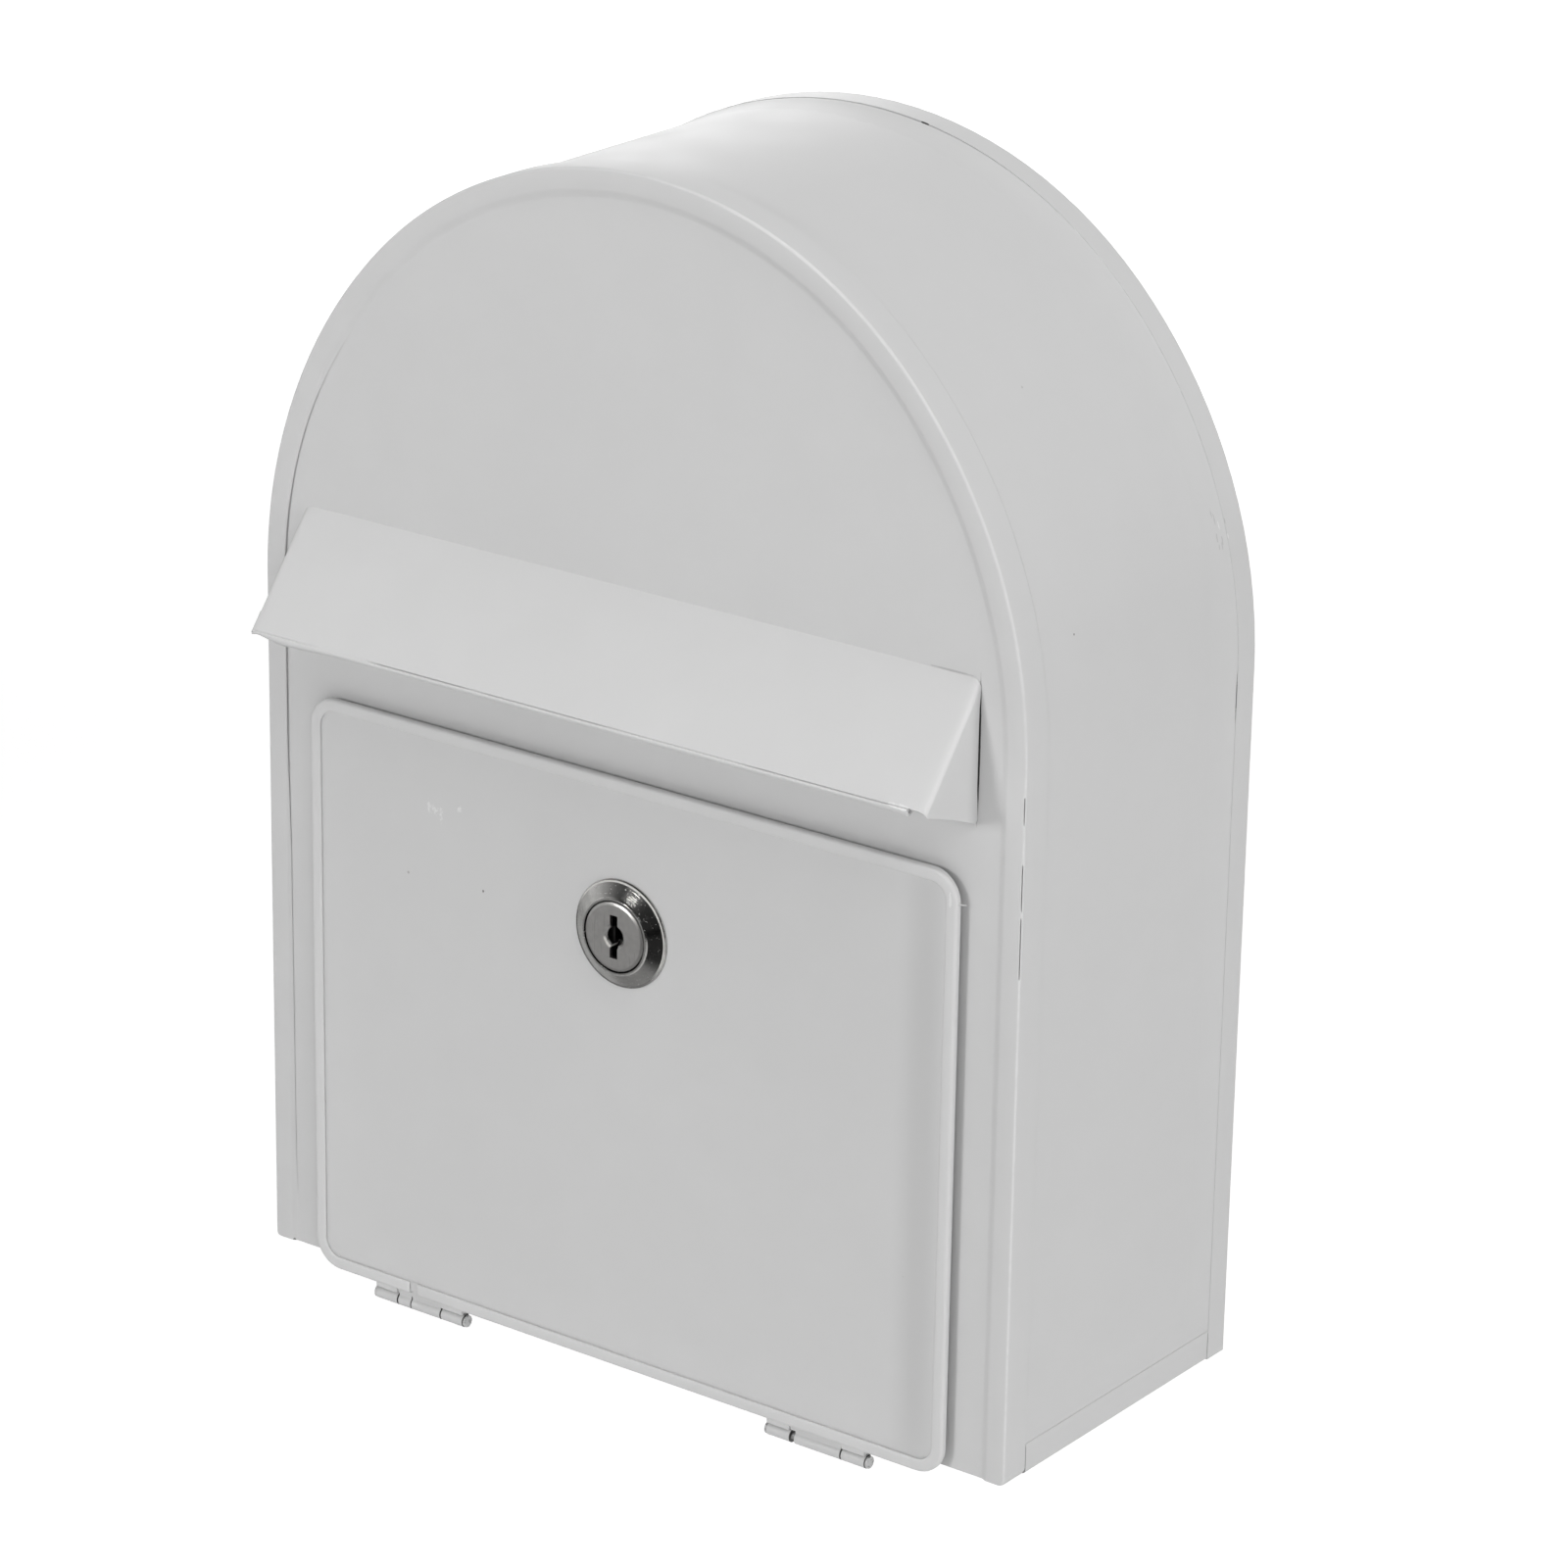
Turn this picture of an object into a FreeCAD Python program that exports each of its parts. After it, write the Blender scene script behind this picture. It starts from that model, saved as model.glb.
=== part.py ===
# Arched wall mailbox of lapped and folded sheet steel, with a drop-down door and a cam lock.
# Box coordinates: X to the viewer's right, Y into the wall, Z up, origin at the middle of the
# screw holes on the back face. Sketches start from the back face and the bottom edge, and each
# sub-part's placement moves it into the frame.
import FreeCAD, Part
import math
import os
from types import SimpleNamespace

import Sketcher
from FreeCAD import Placement, Rotation, Vector

# Driving dimensions in millimetres
DIMENSIONS = {
    # Box shell
    "outer_width": 190.0,
    "outer_height": 250.0,
    "outer_depth": 80.0,
    "straight_height": 149.5,
    "sheet": 0.6,
    "seam_gap": 0.1,
    "bend_radius": 0.7,
    "arch_bevel": 0.45,
    "leg_corner": 2.0,
    "front_rim_face": 5.0,
    "front_rim_hoop": 7.3,
    "back_hoop": 6.5,
    "floor_tab": 6.6,
    "floor_lip": 8.0,
    # Openings of the front panel
    "cutout_width": 144.0,
    "cutout_corner": 3.0,
    "slot_bottom": 141.0,
    "slot_height": 19.0,
    "doorway_bottom": 12.0,
    "doorway_height": 105.0,
    # Wall screws
    "screw_spacing_x": 110.0,
    "screw_spacing_z": 120.0,
    "screw_centre_height": 120.0,
    "screw_hole_radius": 2.75,
    # Rain visor
    "visor_width": 167.6,
    "visor_top": 166.2,
    "visor_reach": 18.0,
    "visor_fall": 23.0,
    "visor_cheek_bottom": 137.9,
    "visor_cheek_gap": 0.4,
    "visor_bend": 2.4,
    "visor_hem": 4.5,
    "visor_hem_setback": 4.0,
    # Door
    "door_width": 163.3,
    "door_height": 128.6,
    "door_drop": 1.75,
    "door_corner": 6.5,
    "door_sheet": 0.7,
    "door_rim_sheet": 0.6,
    "door_rim_face": 2.75,
    "door_rim_bevel": 0.85,
    "rim_joint_x": -55.0,
    "rim_joint_gap": 1.8,
    # Hinges
    "left_hinge_x": -53.8,
    "right_hinge_x": 50.5,
    "hinge_axis_drop": 4.6,
    "knuckle_radius": 1.4,
    "pin_radius": 0.7,
    "pin_head_radius": 1.3,
    "pin_head_height": 0.4,
    "pin_head_gap": 0.15,
    "running_gap": 0.05,
    "free_gap": 0.3,
    "middle_knuckle": 11.4,
    "end_knuckle": 5.8,
    "loose_knuckle_gap": 1.2,
    "knuckle_slit_place": 3.4,
    "knuckle_slit": 0.2,
    "leaf_sheet": 0.7,
    "leaf_height": 14.0,
    # Cam lock
    "lock_height": 94.1,
    "bezel_radius": 11.5,
    "bezel_lip_height": 0.6,
    "bezel_height": 2.5,
    "bezel_ring_radius": 8.3,
    "bezel_lip_face": 0.55,
    "lock_bevel": 0.3,
    "lock_body_radius": 9.5,
    "lock_body_length": 16.0,
    "lock_flat": 8.0,
    "plug_face_radius": 7.5,
    "plug_face_proud": 0.2,
    "plug_edge": 0.75,
    "plug_head_depth": 2.2,
    "plug_radius": 6.0,
    "keyway_width": 1.9,
    "keyway_height": 9.2,
    "keyway_depth": 9.0,
    "ward_depth": 1.3,
    "ward_top": -1.0,
    "ward_low_x": -0.1,
    "ward_high_x": 0.4,
    "key_bore_radius": 2.0,
    "key_bore_mouth": 2.65,
    "key_bore_bevel": 0.6,
    "key_bore_depth": 1.8,
    "wafer_width": 6.4,
    "wafer_height": 9.8,
    "wafer_sheet": 0.9,
    "wafer_pitch": 1.5,
    "wafer_start": 0.2,
    "wafer_window_width": 2.6,
    "wafer_window_height": 5.4,
    "tail_side": 7.0,
    "stop_radius": 8.6,
    "stop_hub_radius": 6.3,
    "stop_sheet": 1.0,
    "stop_lug_width": 3.0,
    "nut_flats": 23.0,
    "nut_thickness": 4.0,
    "cam_sheet": 1.6,
    "cam_width": 14.0,
    "cam_reach": 33.0,
    "cam_crank_start": 10.5,
    "cam_crank_run": 7.3,
    "cam_panel_gap": 0.8,
    "washer_radius": 5.5,
    "washer_thickness": 0.8,
    "screw_radius": 2.0,
    "screw_length": 9.0,
    "screw_head_radius": 4.0,
    "screw_head_height": 2.4,
    "screw_head_bevel": 0.6,
    "screw_slot_width": 1.0,
    "screw_slot_depth": 1.2,
}

doc = FreeCAD.newDocument("wall_mailbox")
sheet = doc.addObject("Spreadsheet::Sheet", "Dims")
for row, (alias, number) in enumerate(DIMENSIONS.items(), start=1):
    sheet.set(f"A{row}", alias)
    sheet.set(f"B{row}", str(number))
    sheet.setAlias(f"B{row}", alias)
doc.recompute()


class Size:
    """A length with the sheet expression that drives it."""

    def __init__(self, value, text):
        self.value = value
        self.text = text

    def joined(self, sign, other, result):
        return Size(result, f"({self.text} {sign} {other.text})")

    def __add__(self, other):
        other = as_size(other)
        return self.joined("+", other, self.value + other.value)

    def __sub__(self, other):
        other = as_size(other)
        return self.joined("-", other, self.value - other.value)

    def __mul__(self, other):
        other = as_size(other)
        return self.joined("*", other, self.value * other.value)

    def __truediv__(self, other):
        other = as_size(other)
        return self.joined("/", other, self.value / other.value)

    def __neg__(self):
        return as_size(0) - self


def as_size(number):
    return number if isinstance(number, Size) else Size(float(number), str(number))


def diagonal(first, second):
    """Hypotenuse of two lengths."""
    squares = first * first + second * second
    return Size(math.sqrt(squares.value), f"sqrt({squares.text})")


D = SimpleNamespace(**{alias: Size(sheet.get(alias), f"Dims.{alias}") for alias in DIMENSIONS})

# Places that several sub-parts share, as depths in front of the wall and heights over the bottom
half_width = D.outer_width / 2
arch_rise = D.outer_height - D.straight_height
arch_excess = (arch_rise - half_width) / (math.sqrt(2) - 1)
side_radius = half_width + arch_excess / math.sqrt(2)
top_radius = side_radius - arch_excess
lap = D.sheet + D.seam_gap
panel_face = D.outer_depth - D.sheet
panel_back = panel_face - D.sheet
leaf_pack = D.leaf_sheet * 2 + D.free_gap
door_back = panel_face + leaf_pack
door_field = door_back + D.door_sheet
door_front = door_field + D.door_rim_sheet
hinge_depth = panel_face + leaf_pack / 2
door_bottom = -D.door_drop
door_top = D.door_height - D.door_drop
stop_back = D.lock_body_length + D.seam_gap + D.stop_sheet
cam_back = stop_back + D.cam_sheet
washer_back = cam_back + D.washer_thickness
OVERCUT = 5.0
WAFER_COUNT = 4
ROUND_MIDDLE = 1 - math.sqrt(0.5)

sub_parts = []


def new_body(label, x=0, depth=0, height=0):
    """Starts a sub-part whose own origin lies at a place on the box."""
    body = doc.addObject("PartDesign::Body", label)
    body.Label = label
    place = {"x": as_size(x), "y": -as_size(depth), "z": as_size(height) - D.screw_centre_height}
    for axis, size in place.items():
        body.setExpression(f"Placement.Base.{axis}", size.text)
    sub_parts.append(body)
    return body


def sketch_on(body, plane_role, offset=0):
    """Starts a sketch on an origin plane of its body, moved along the plane's normal."""
    plane = next(item for item in body.Origin.OriginFeatures if item.Role == plane_role)
    sketch = body.newObject("Sketcher::SketchObject", f"{body.Name}_outline")
    sketch.AttachmentSupport = [(plane, "")]
    sketch.MapMode = "FlatFace"
    offset = as_size(offset)
    sketch.AttachmentOffset = Placement(Vector(0, 0, offset.value), Rotation())
    sketch.setExpression("AttachmentOffset.Base.z", offset.text)
    return sketch


def front_sketch(body, depth=0):
    """Sketch seen from the front, X to the right and Z up, at a depth in front of the wall."""
    return sketch_on(body, "XZ_Plane", depth)


def side_sketch(body, x=0):
    """Sketch seen from the side, Y to the right and Z up."""
    return sketch_on(body, "YZ_Plane", x)


def plan_sketch(body, height=0):
    """Sketch seen from above, X to the right and Y up."""
    return sketch_on(body, "XY_Plane", height)


def dimension(sketch, kind, geometry, point, size):
    """Dimensions a point from the sketch's origin, or a curve's radius."""
    size = as_size(size)
    ends = (geometry,) if kind == "Radius" else (-1, 1, geometry, point)
    index = sketch.addConstraint(Sketcher.Constraint(kind, *ends, size.value))
    sketch.setExpression(f"Constraints[{index}]", size.text)


def polygon(sketch, corners):
    """Closed outline of straight lines."""
    points = [Vector(as_size(across).value, as_size(up).value, 0) for across, up in corners]
    start = sketch.GeometryCount
    count = len(points)
    for i in range(count):
        sketch.addGeometry(Part.LineSegment(points[i], points[(i + 1) % count]))
    for i, (across, up) in enumerate(corners):
        sketch.addConstraint(
            Sketcher.Constraint("Coincident", start + i, 2, start + (i + 1) % count, 1))
        dimension(sketch, "DistanceX", start + i, 1, across)
        dimension(sketch, "DistanceY", start + i, 1, up)


def rectangle(sketch, left, right, low, high):
    polygon(sketch, [(left, low), (right, low), (right, high), (left, high)])


def circle(sketch, across, up, radius):
    centre = Vector(as_size(across).value, as_size(up).value, 0)
    index = sketch.addGeometry(Part.Circle(centre, Vector(0, 0, 1), as_size(radius).value))
    dimension(sketch, "DistanceX", index, 3, across)
    dimension(sketch, "DistanceY", index, 3, up)
    dimension(sketch, "Radius", index, None, radius)


def line(start, end):
    return Part.LineSegment(Vector(*start, 0), Vector(*end, 0))


def arc(centre, radius, start_degrees, end_degrees):
    full = Part.Circle(Vector(*centre, 0), Vector(0, 0, 1), radius)
    return Part.ArcOfCircle(full, math.radians(start_degrees), math.radians(end_degrees))


def join(sketch, kind, pairs):
    """Joins the end of one curve to the start of the next, plainly or smoothly."""
    for first, second in pairs:
        sketch.addConstraint(Sketcher.Constraint(kind, first, 2, second, 1))


def arch(sketch, inset, bottom):
    """Outline of the box front, moved inwards all round: straight sides under a three-centred arch."""
    half = half_width - inset
    side = side_radius - inset
    top = top_radius - inset
    w, low, spring = half.value, as_size(bottom).value, D.straight_height.value
    top_centre = spring + arch_excess.value / math.sqrt(2)
    sketch.addGeometry([
        line((-w, low), (w, low)),
        line((w, low), (w, spring)),
        arc((w - side.value, spring), side.value, 0, 45),
        arc((0, top_centre), top.value, 45, 135),
        arc((side.value - w, spring), side.value, 135, 180),
        line((-w, spring), (-w, low)),
    ])
    join(sketch, "Coincident", [(0, 1), (5, 0)])
    join(sketch, "Tangent", [(1, 2), (2, 3), (3, 4), (4, 5)])
    sketch.addConstraint(Sketcher.Constraint("Horizontal", 0))
    sketch.addConstraint(Sketcher.Constraint("Vertical", 1))
    sketch.addConstraint(Sketcher.Constraint("Vertical", 5))
    dimension(sketch, "DistanceX", 0, 1, -half)
    dimension(sketch, "DistanceX", 0, 2, half)
    dimension(sketch, "DistanceY", 0, 1, bottom)
    dimension(sketch, "DistanceY", 1, 2, D.straight_height)
    dimension(sketch, "DistanceY", 5, 1, D.straight_height)
    for curve, radius in ((2, side), (3, top), (4, side)):
        dimension(sketch, "Radius", curve, None, radius)


def rounded_rectangle(sketch, half, low, high, corner):
    """Rectangle about the middle of the box with four equal round corners."""
    w, bottom, top, r = (as_size(size).value for size in (half, low, high, corner))
    sketch.addGeometry([
        line((r - w, bottom), (w - r, bottom)),
        arc((w - r, bottom + r), r, 270, 360),
        line((w, bottom + r), (w, top - r)),
        arc((w - r, top - r), r, 0, 90),
        line((w - r, top), (r - w, top)),
        arc((r - w, top - r), r, 90, 180),
        line((-w, top - r), (-w, bottom + r)),
        arc((r - w, bottom + r), r, 180, 270),
    ])
    join(sketch, "Tangent", [(i, (i + 1) % 8) for i in range(8)])
    for side, kind in ((0, "Horizontal"), (2, "Vertical"), (4, "Horizontal"), (6, "Vertical")):
        sketch.addConstraint(Sketcher.Constraint(kind, side))
    for curve in (1, 3, 5, 7):
        dimension(sketch, "Radius", curve, None, corner)
    dimension(sketch, "DistanceY", 0, 1, low)
    dimension(sketch, "DistanceX", 2, 1, half)
    dimension(sketch, "DistanceY", 4, 1, high)
    dimension(sketch, "DistanceX", 6, 1, -half)


def double_flat(sketch, radius, flat):
    """Round hole with two upright flats."""
    r, f = radius.value, flat.value
    reach = math.sqrt(r * r - f * f)
    degrees = math.degrees(math.acos(f / r))
    sketch.addGeometry([
        line((f, -reach), (f, reach)),
        arc((0, 0), r, degrees, 180 - degrees),
        line((-f, reach), (-f, -reach)),
        arc((0, 0), r, 180 + degrees, 360 - degrees),
    ])
    join(sketch, "Coincident", [(i, (i + 1) % 4) for i in range(4)])
    for curve in (1, 3):
        dimension(sketch, "Radius", curve, None, radius)
        sketch.addConstraint(Sketcher.Constraint("Coincident", curve, 3, -1, 1))
    sketch.addConstraint(Sketcher.Constraint("Vertical", 0))
    sketch.addConstraint(Sketcher.Constraint("Vertical", 2))
    dimension(sketch, "DistanceX", 0, 1, flat)
    dimension(sketch, "DistanceX", 2, 1, -flat)


def grow(body, sketch, length, backwards=False):
    """Pads a sketch along its normal, which points to the front, the right or up."""
    pad = body.newObject("PartDesign::Pad", f"{body.Name}_pad")
    pad.Profile = sketch
    pad.Reversed = backwards
    pad.setExpression("Length", as_size(length).text)
    doc.recompute()
    return pad


def cut(body, sketch, length, along_normal=False):
    """Pockets a sketch against its normal, or along it."""
    before = body.Shape.Volume
    pocket = body.newObject("PartDesign::Pocket", f"{body.Name}_pocket")
    pocket.Profile = sketch
    pocket.Reversed = along_normal
    pocket.setExpression("Length", as_size(length).text)
    doc.recompute()
    if body.Shape.Volume >= before:
        raise RuntimeError(f"{body.Label}: a pocket removes nothing")
    return pocket


def turn_round(body, sketch, axis):
    """Revolves a half section about an axis of its sketch."""
    revolution = body.newObject("PartDesign::Revolution", f"{body.Name}_turned")
    revolution.Profile = sketch
    revolution.ReferenceAxis = (sketch, [axis])
    revolution.Angle = 360
    doc.recompute()
    return revolution


def turn_away(body, sketch, axis):
    """Cuts away a half section turned about an axis of its sketch."""
    groove = body.newObject("PartDesign::Groove", f"{body.Name}_groove")
    groove.Profile = sketch
    groove.ReferenceAxis = (sketch, [axis])
    groove.Angle = 360
    doc.recompute()
    return groove


def round_edges(body, radius, belongs):
    """Fillets the edges of a sub-part that pass a test on their points."""
    base = body.Tip
    names = [f"Edge{i}" for i, edge in enumerate(base.Shape.Edges, start=1) if belongs(edge)]
    fillet = body.newObject("PartDesign::Fillet", f"{body.Name}_fillet")
    fillet.Base = (base, names)
    fillet.setExpression("Radius", radius.text)
    doc.recompute()
    return fillet


def bevel_edges(body, size, belongs):
    """Chamfers the edges of a sub-part that pass a test on their points."""
    base = body.Tip
    names = [f"Edge{i}" for i, edge in enumerate(base.Shape.Edges, start=1) if belongs(edge)]
    bevel = body.newObject("PartDesign::Chamfer", f"{body.Name}_bevel")
    bevel.Base = (base, names)
    bevel.setExpression("Size", size.text)
    doc.recompute()
    return bevel


def near(first, second):
    return abs(first - second) < 1e-3


def samples(edge):
    return edge.discretize(5)


def lies_at(edge, **places):
    """True where the whole edge has the given x, y or z."""
    return all(near(getattr(point, axis), value) for point in samples(edge)
               for axis, value in places.items())


def on_arch(edge, inset):
    """True where the whole edge follows the box outline, moved inwards."""
    w = half_width.value - inset
    spring = D.straight_height.value
    top_centre = spring + arch_excess.value / math.sqrt(2)
    side_middle = half_width.value - side_radius.value
    for point in samples(edge):
        top = math.hypot(point.x, point.z - top_centre)
        side = math.hypot(abs(point.x) - side_middle, point.z - spring)
        straight = near(abs(point.x), w) and point.z < spring + 1e-3
        if not (straight or near(top, top_radius.value - inset) or near(side, side_radius.value - inset)):
            return False
    return True


# Box shell
def make_side_wrap():
    """One sheet bent over the arch and down both sides."""
    body = new_body("side_wrap")
    outline = front_sketch(body, D.sheet)
    arch(outline, lap, D.sheet)
    grow(body, outline, panel_back - D.sheet)
    inside = front_sketch(body, panel_back)
    arch(inside, lap + D.sheet, -OVERCUT)
    cut(body, inside, D.outer_depth)


def foot_corner(sketch, side):
    """Waste outside the rounded foot of one leg. side is -1 on the left and 1 on the right."""
    edge, corner = half_width * side, D.leg_corner
    middle = edge - corner * side
    foot, flank = (middle, as_size(0)), (edge, corner)
    first, last = (foot, flank) if side > 0 else (flank, foot)
    start_degrees = 270 if side > 0 else 180
    point, tip = (tuple(size.value for size in place) for place in (first, last))
    outer = (edge.value, 0)
    start = sketch.GeometryCount
    sketch.addGeometry([
        arc((middle.value, corner.value), corner.value, start_degrees, start_degrees + 90),
        line(tip, outer),
        line(outer, point),
    ])
    join(sketch, "Coincident", [(start, start + 1), (start + 1, start + 2), (start + 2, start)])
    corners = ((start, 1, first), (start, 2, last), (start + 1, 2, (edge, as_size(0))))
    for curve, end, (across, up) in corners:
        dimension(sketch, "DistanceX", curve, end, across)
        dimension(sketch, "DistanceY", curve, end, up)
    dimension(sketch, "Radius", start, None, corner)


def make_front_frame():
    """Angle-section strip round the front edge, open at the bottom, with rounded feet."""
    body = new_body("front_frame")
    hoop_back = D.outer_depth - D.front_rim_hoop
    outline = front_sketch(body, hoop_back)
    arch(outline, 0, 0)
    grow(body, outline, D.front_rim_hoop)
    hoop_inside = front_sketch(body, hoop_back)
    arch(hoop_inside, D.sheet, -OVERCUT)
    cut(body, hoop_inside, D.front_rim_hoop - D.sheet, along_normal=True)
    window = front_sketch(body, D.outer_depth)
    arch(window, D.front_rim_face, -OVERCUT)
    cut(body, window, D.outer_depth)
    feet = front_sketch(body, D.outer_depth)
    for side in (-1, 1):
        foot_corner(feet, side)
    cut(body, feet, D.outer_depth)
    front = -D.outer_depth.value
    bevel_edges(body, D.arch_bevel, lambda edge: lies_at(edge, y=front) and on_arch(edge, 0))


def make_front_panel():
    """Arched front behind the frame, with the mail slot and the doorway cut out."""
    body = new_body("front_panel")
    outline = front_sketch(body, panel_back)
    arch(outline, lap, 0)
    grow(body, outline, D.sheet)
    cutouts = (
        (D.slot_bottom, D.slot_bottom + D.slot_height),
        (D.doorway_bottom, D.doorway_bottom + D.doorway_height),
    )
    for low, high in cutouts:
        opening = front_sketch(body, panel_face)
        rounded_rectangle(opening, D.cutout_width / 2, low, high, D.cutout_corner)
        cut(body, opening, D.sheet)


def make_back_panel():
    """Arched back plate whose edge is turned forwards over the side wrap, with four screw holes."""
    body = new_body("back_panel")
    outline = front_sketch(body)
    arch(outline, 0, 0)
    grow(body, outline, D.back_hoop)
    inside = front_sketch(body, D.back_hoop)
    arch(inside, D.sheet, -OVERCUT)
    cut(body, inside, D.back_hoop - D.sheet)
    holes = front_sketch(body, D.sheet)
    for across in (-D.screw_spacing_x / 2, D.screw_spacing_x / 2):
        for up in (-D.screw_spacing_z / 2, D.screw_spacing_z / 2):
            circle(holes, across, D.screw_centre_height + up, D.screw_hole_radius)
    cut(body, holes, D.sheet)
    bevel_edges(body, D.arch_bevel, lambda edge: lies_at(edge, y=0) and on_arch(edge, 0))


def make_bottom_plate():
    """Floor with side tabs turned up outside the wrap and a lip turned up behind the front panel."""
    body = new_body("bottom_plate")
    tab_back = D.back_hoop + D.seam_gap
    tab_front = D.outer_depth - D.front_rim_hoop - D.seam_gap
    channel = front_sketch(body, tab_back)
    rectangle(channel, -half_width, half_width, 0, D.floor_tab)
    grow(body, channel, tab_front - tab_back)
    inside = front_sketch(body, tab_front)
    rectangle(inside, D.sheet - half_width, half_width - D.sheet, D.sheet, D.floor_tab)
    cut(body, inside, tab_front - tab_back)
    edge_x = half_width.value
    round_edges(body, D.bend_radius,
                lambda edge: lies_at(edge, x=edge_x, z=0) or lies_at(edge, x=-edge_x, z=0))
    floor = front_sketch(body, D.sheet)
    rectangle(floor, lap - half_width, half_width - lap, 0, D.sheet)
    grow(body, floor, panel_back - D.sheet)
    lip = front_sketch(body, panel_back - D.sheet)
    rectangle(lip, -D.cutout_width / 2, D.cutout_width / 2, 0, D.floor_lip)
    grow(body, lip, D.sheet)


def make_rain_visor():
    """Sloping hood over the mail slot: one sheet with bent cheeks and a hemmed lip."""
    body = new_body("rain_visor")
    run = diagonal(D.visor_reach, D.visor_fall)
    half = D.visor_width / 2
    face = -panel_face
    lip = (face - D.visor_reach, D.visor_top - D.visor_fall)
    cheek_back = face - D.visor_cheek_gap
    weld = D.sheet * run / D.visor_reach

    def inside_slope(along, deep):
        """Point on the slope's section, measured up from the lip and square to the sheet."""
        across = lip[0] + D.visor_reach * along / run + D.visor_fall * deep / run
        up = lip[1] + D.visor_fall * along / run - D.visor_reach * deep / run
        return across, up

    wedge = side_sketch(body, -half)
    polygon(wedge, [
        (face, D.visor_top),
        lip,
        (cheek_back, D.visor_cheek_bottom),
        (cheek_back, D.visor_top - weld),
        (face, D.visor_top - weld),
    ])
    grow(body, wedge, D.visor_width)
    edge_x = half.value
    top = D.visor_top.value
    round_edges(body, D.visor_bend, lambda edge: (
        (lies_at(edge, x=edge_x) or lies_at(edge, x=-edge_x))
        and near(edge.Length, run.value) and near(edge.BoundBox.ZMax, top)))
    inner_half = half - D.sheet
    inside = front_sketch(body, -lip[0])
    fall_angle = Size(math.degrees(math.atan2(D.visor_fall.value, D.visor_reach.value)),
                      f"atan({D.visor_fall.text} / {D.visor_reach.text})")
    inside.AttachmentOffset = Placement(Vector(0, lip[1].value, -lip[0].value),
                                        Rotation(Vector(1, 0, 0), fall_angle.value))
    inside.setExpression("AttachmentOffset.Base.y", lip[1].text)
    inside.setExpression("AttachmentOffset.Rotation.Angle", fall_angle.text)
    rounded_rectangle(inside, inner_half, -run, -D.sheet, D.visor_bend - D.sheet)
    cut(body, inside, run + OVERCUT)
    hem_half = half - D.visor_hem_setback
    hem = side_sketch(body, -hem_half)
    polygon(hem, [
        inside_slope(0, D.sheet),
        inside_slope(0, D.sheet * 2),
        inside_slope(D.visor_hem, D.sheet * 2),
        inside_slope(D.visor_hem, D.sheet),
    ])
    grow(body, hem, hem_half * 2)


# Door
def make_door_panel():
    """Flat door sheet with a double-flat hole for the lock."""
    body = new_body("door_panel")
    inset = D.door_rim_sheet
    outline = front_sketch(body, door_back)
    rounded_rectangle(outline, D.door_width / 2 - inset, door_bottom + inset, door_top - inset,
                      D.door_corner - inset)
    grow(body, outline, D.door_sheet)
    hole = front_sketch(body, door_field)
    double_flat(hole, D.lock_body_radius + D.seam_gap, D.lock_flat + D.seam_gap)
    hole.setExpression("AttachmentOffset.Base.y", D.lock_height.text)
    cut(body, hole, D.door_sheet)


def make_door_frame():
    """Angle-section strip bent round the edge of the door, with its ends butted at the bottom."""
    body = new_body("door_frame")
    half = D.door_width / 2
    outline = front_sketch(body, door_back)
    rounded_rectangle(outline, half, door_bottom, door_top, D.door_corner)
    grow(body, outline, door_front - door_back)
    steps = (
        (D.door_rim_sheet, door_back, D.door_sheet, True),
        (D.door_rim_face, door_front, D.door_rim_sheet, False),
    )
    for inset, depth, length, along_normal in steps:
        inside = front_sketch(body, depth)
        rounded_rectangle(inside, half - inset, door_bottom + inset, door_top - inset,
                          D.door_corner - inset)
        cut(body, inside, length, along_normal)
    front = -door_front.value
    outer_low = door_bottom.value

    def outer_front(edge):
        box = edge.BoundBox
        outside = near(abs(box.XMax), half.value) or near(abs(box.XMin), half.value)
        return lies_at(edge, y=front) and (
            outside or near(box.ZMin, outer_low) or near(box.ZMax, door_top.value))

    bevel_edges(body, D.door_rim_bevel, outer_front)
    joint = front_sketch(body, door_front)
    rectangle(joint, D.rim_joint_x - D.rim_joint_gap / 2, D.rim_joint_x + D.rim_joint_gap / 2,
              door_bottom - OVERCUT, door_bottom + D.door_rim_face)
    cut(body, joint, door_front - door_back)


# Hinges
def make_leaf(label, x, side, low, high, knuckles):
    """Hinge leaf: a flat plate over curled knuckles. side is -1 in front of the pin and 1 behind it."""
    body = new_body(label, x, hinge_depth, -D.hinge_axis_drop)
    inner = D.free_gap / 2 * side
    outer = (D.free_gap / 2 + D.leaf_sheet) * side
    plate_low = D.knuckle_radius + D.free_gap
    plate = side_sketch(body, low)
    polygon(plate, [(inner, plate_low), (outer, plate_low), (outer, D.leaf_height), (inner, D.leaf_height)])
    grow(body, plate, high - low)
    for start, length in knuckles:
        neck = side_sketch(body, start)
        polygon(neck, [(inner, 0), (outer, 0), (outer, plate_low), (inner, plate_low)])
        grow(body, neck, length)
        barrel = side_sketch(body, start)
        circle(barrel, 0, 0, D.knuckle_radius)
        grow(body, barrel, length)
    bore = side_sketch(body, low)
    circle(bore, 0, 0, D.pin_radius + D.running_gap)
    cut(body, bore, high - low, along_normal=True)


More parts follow.
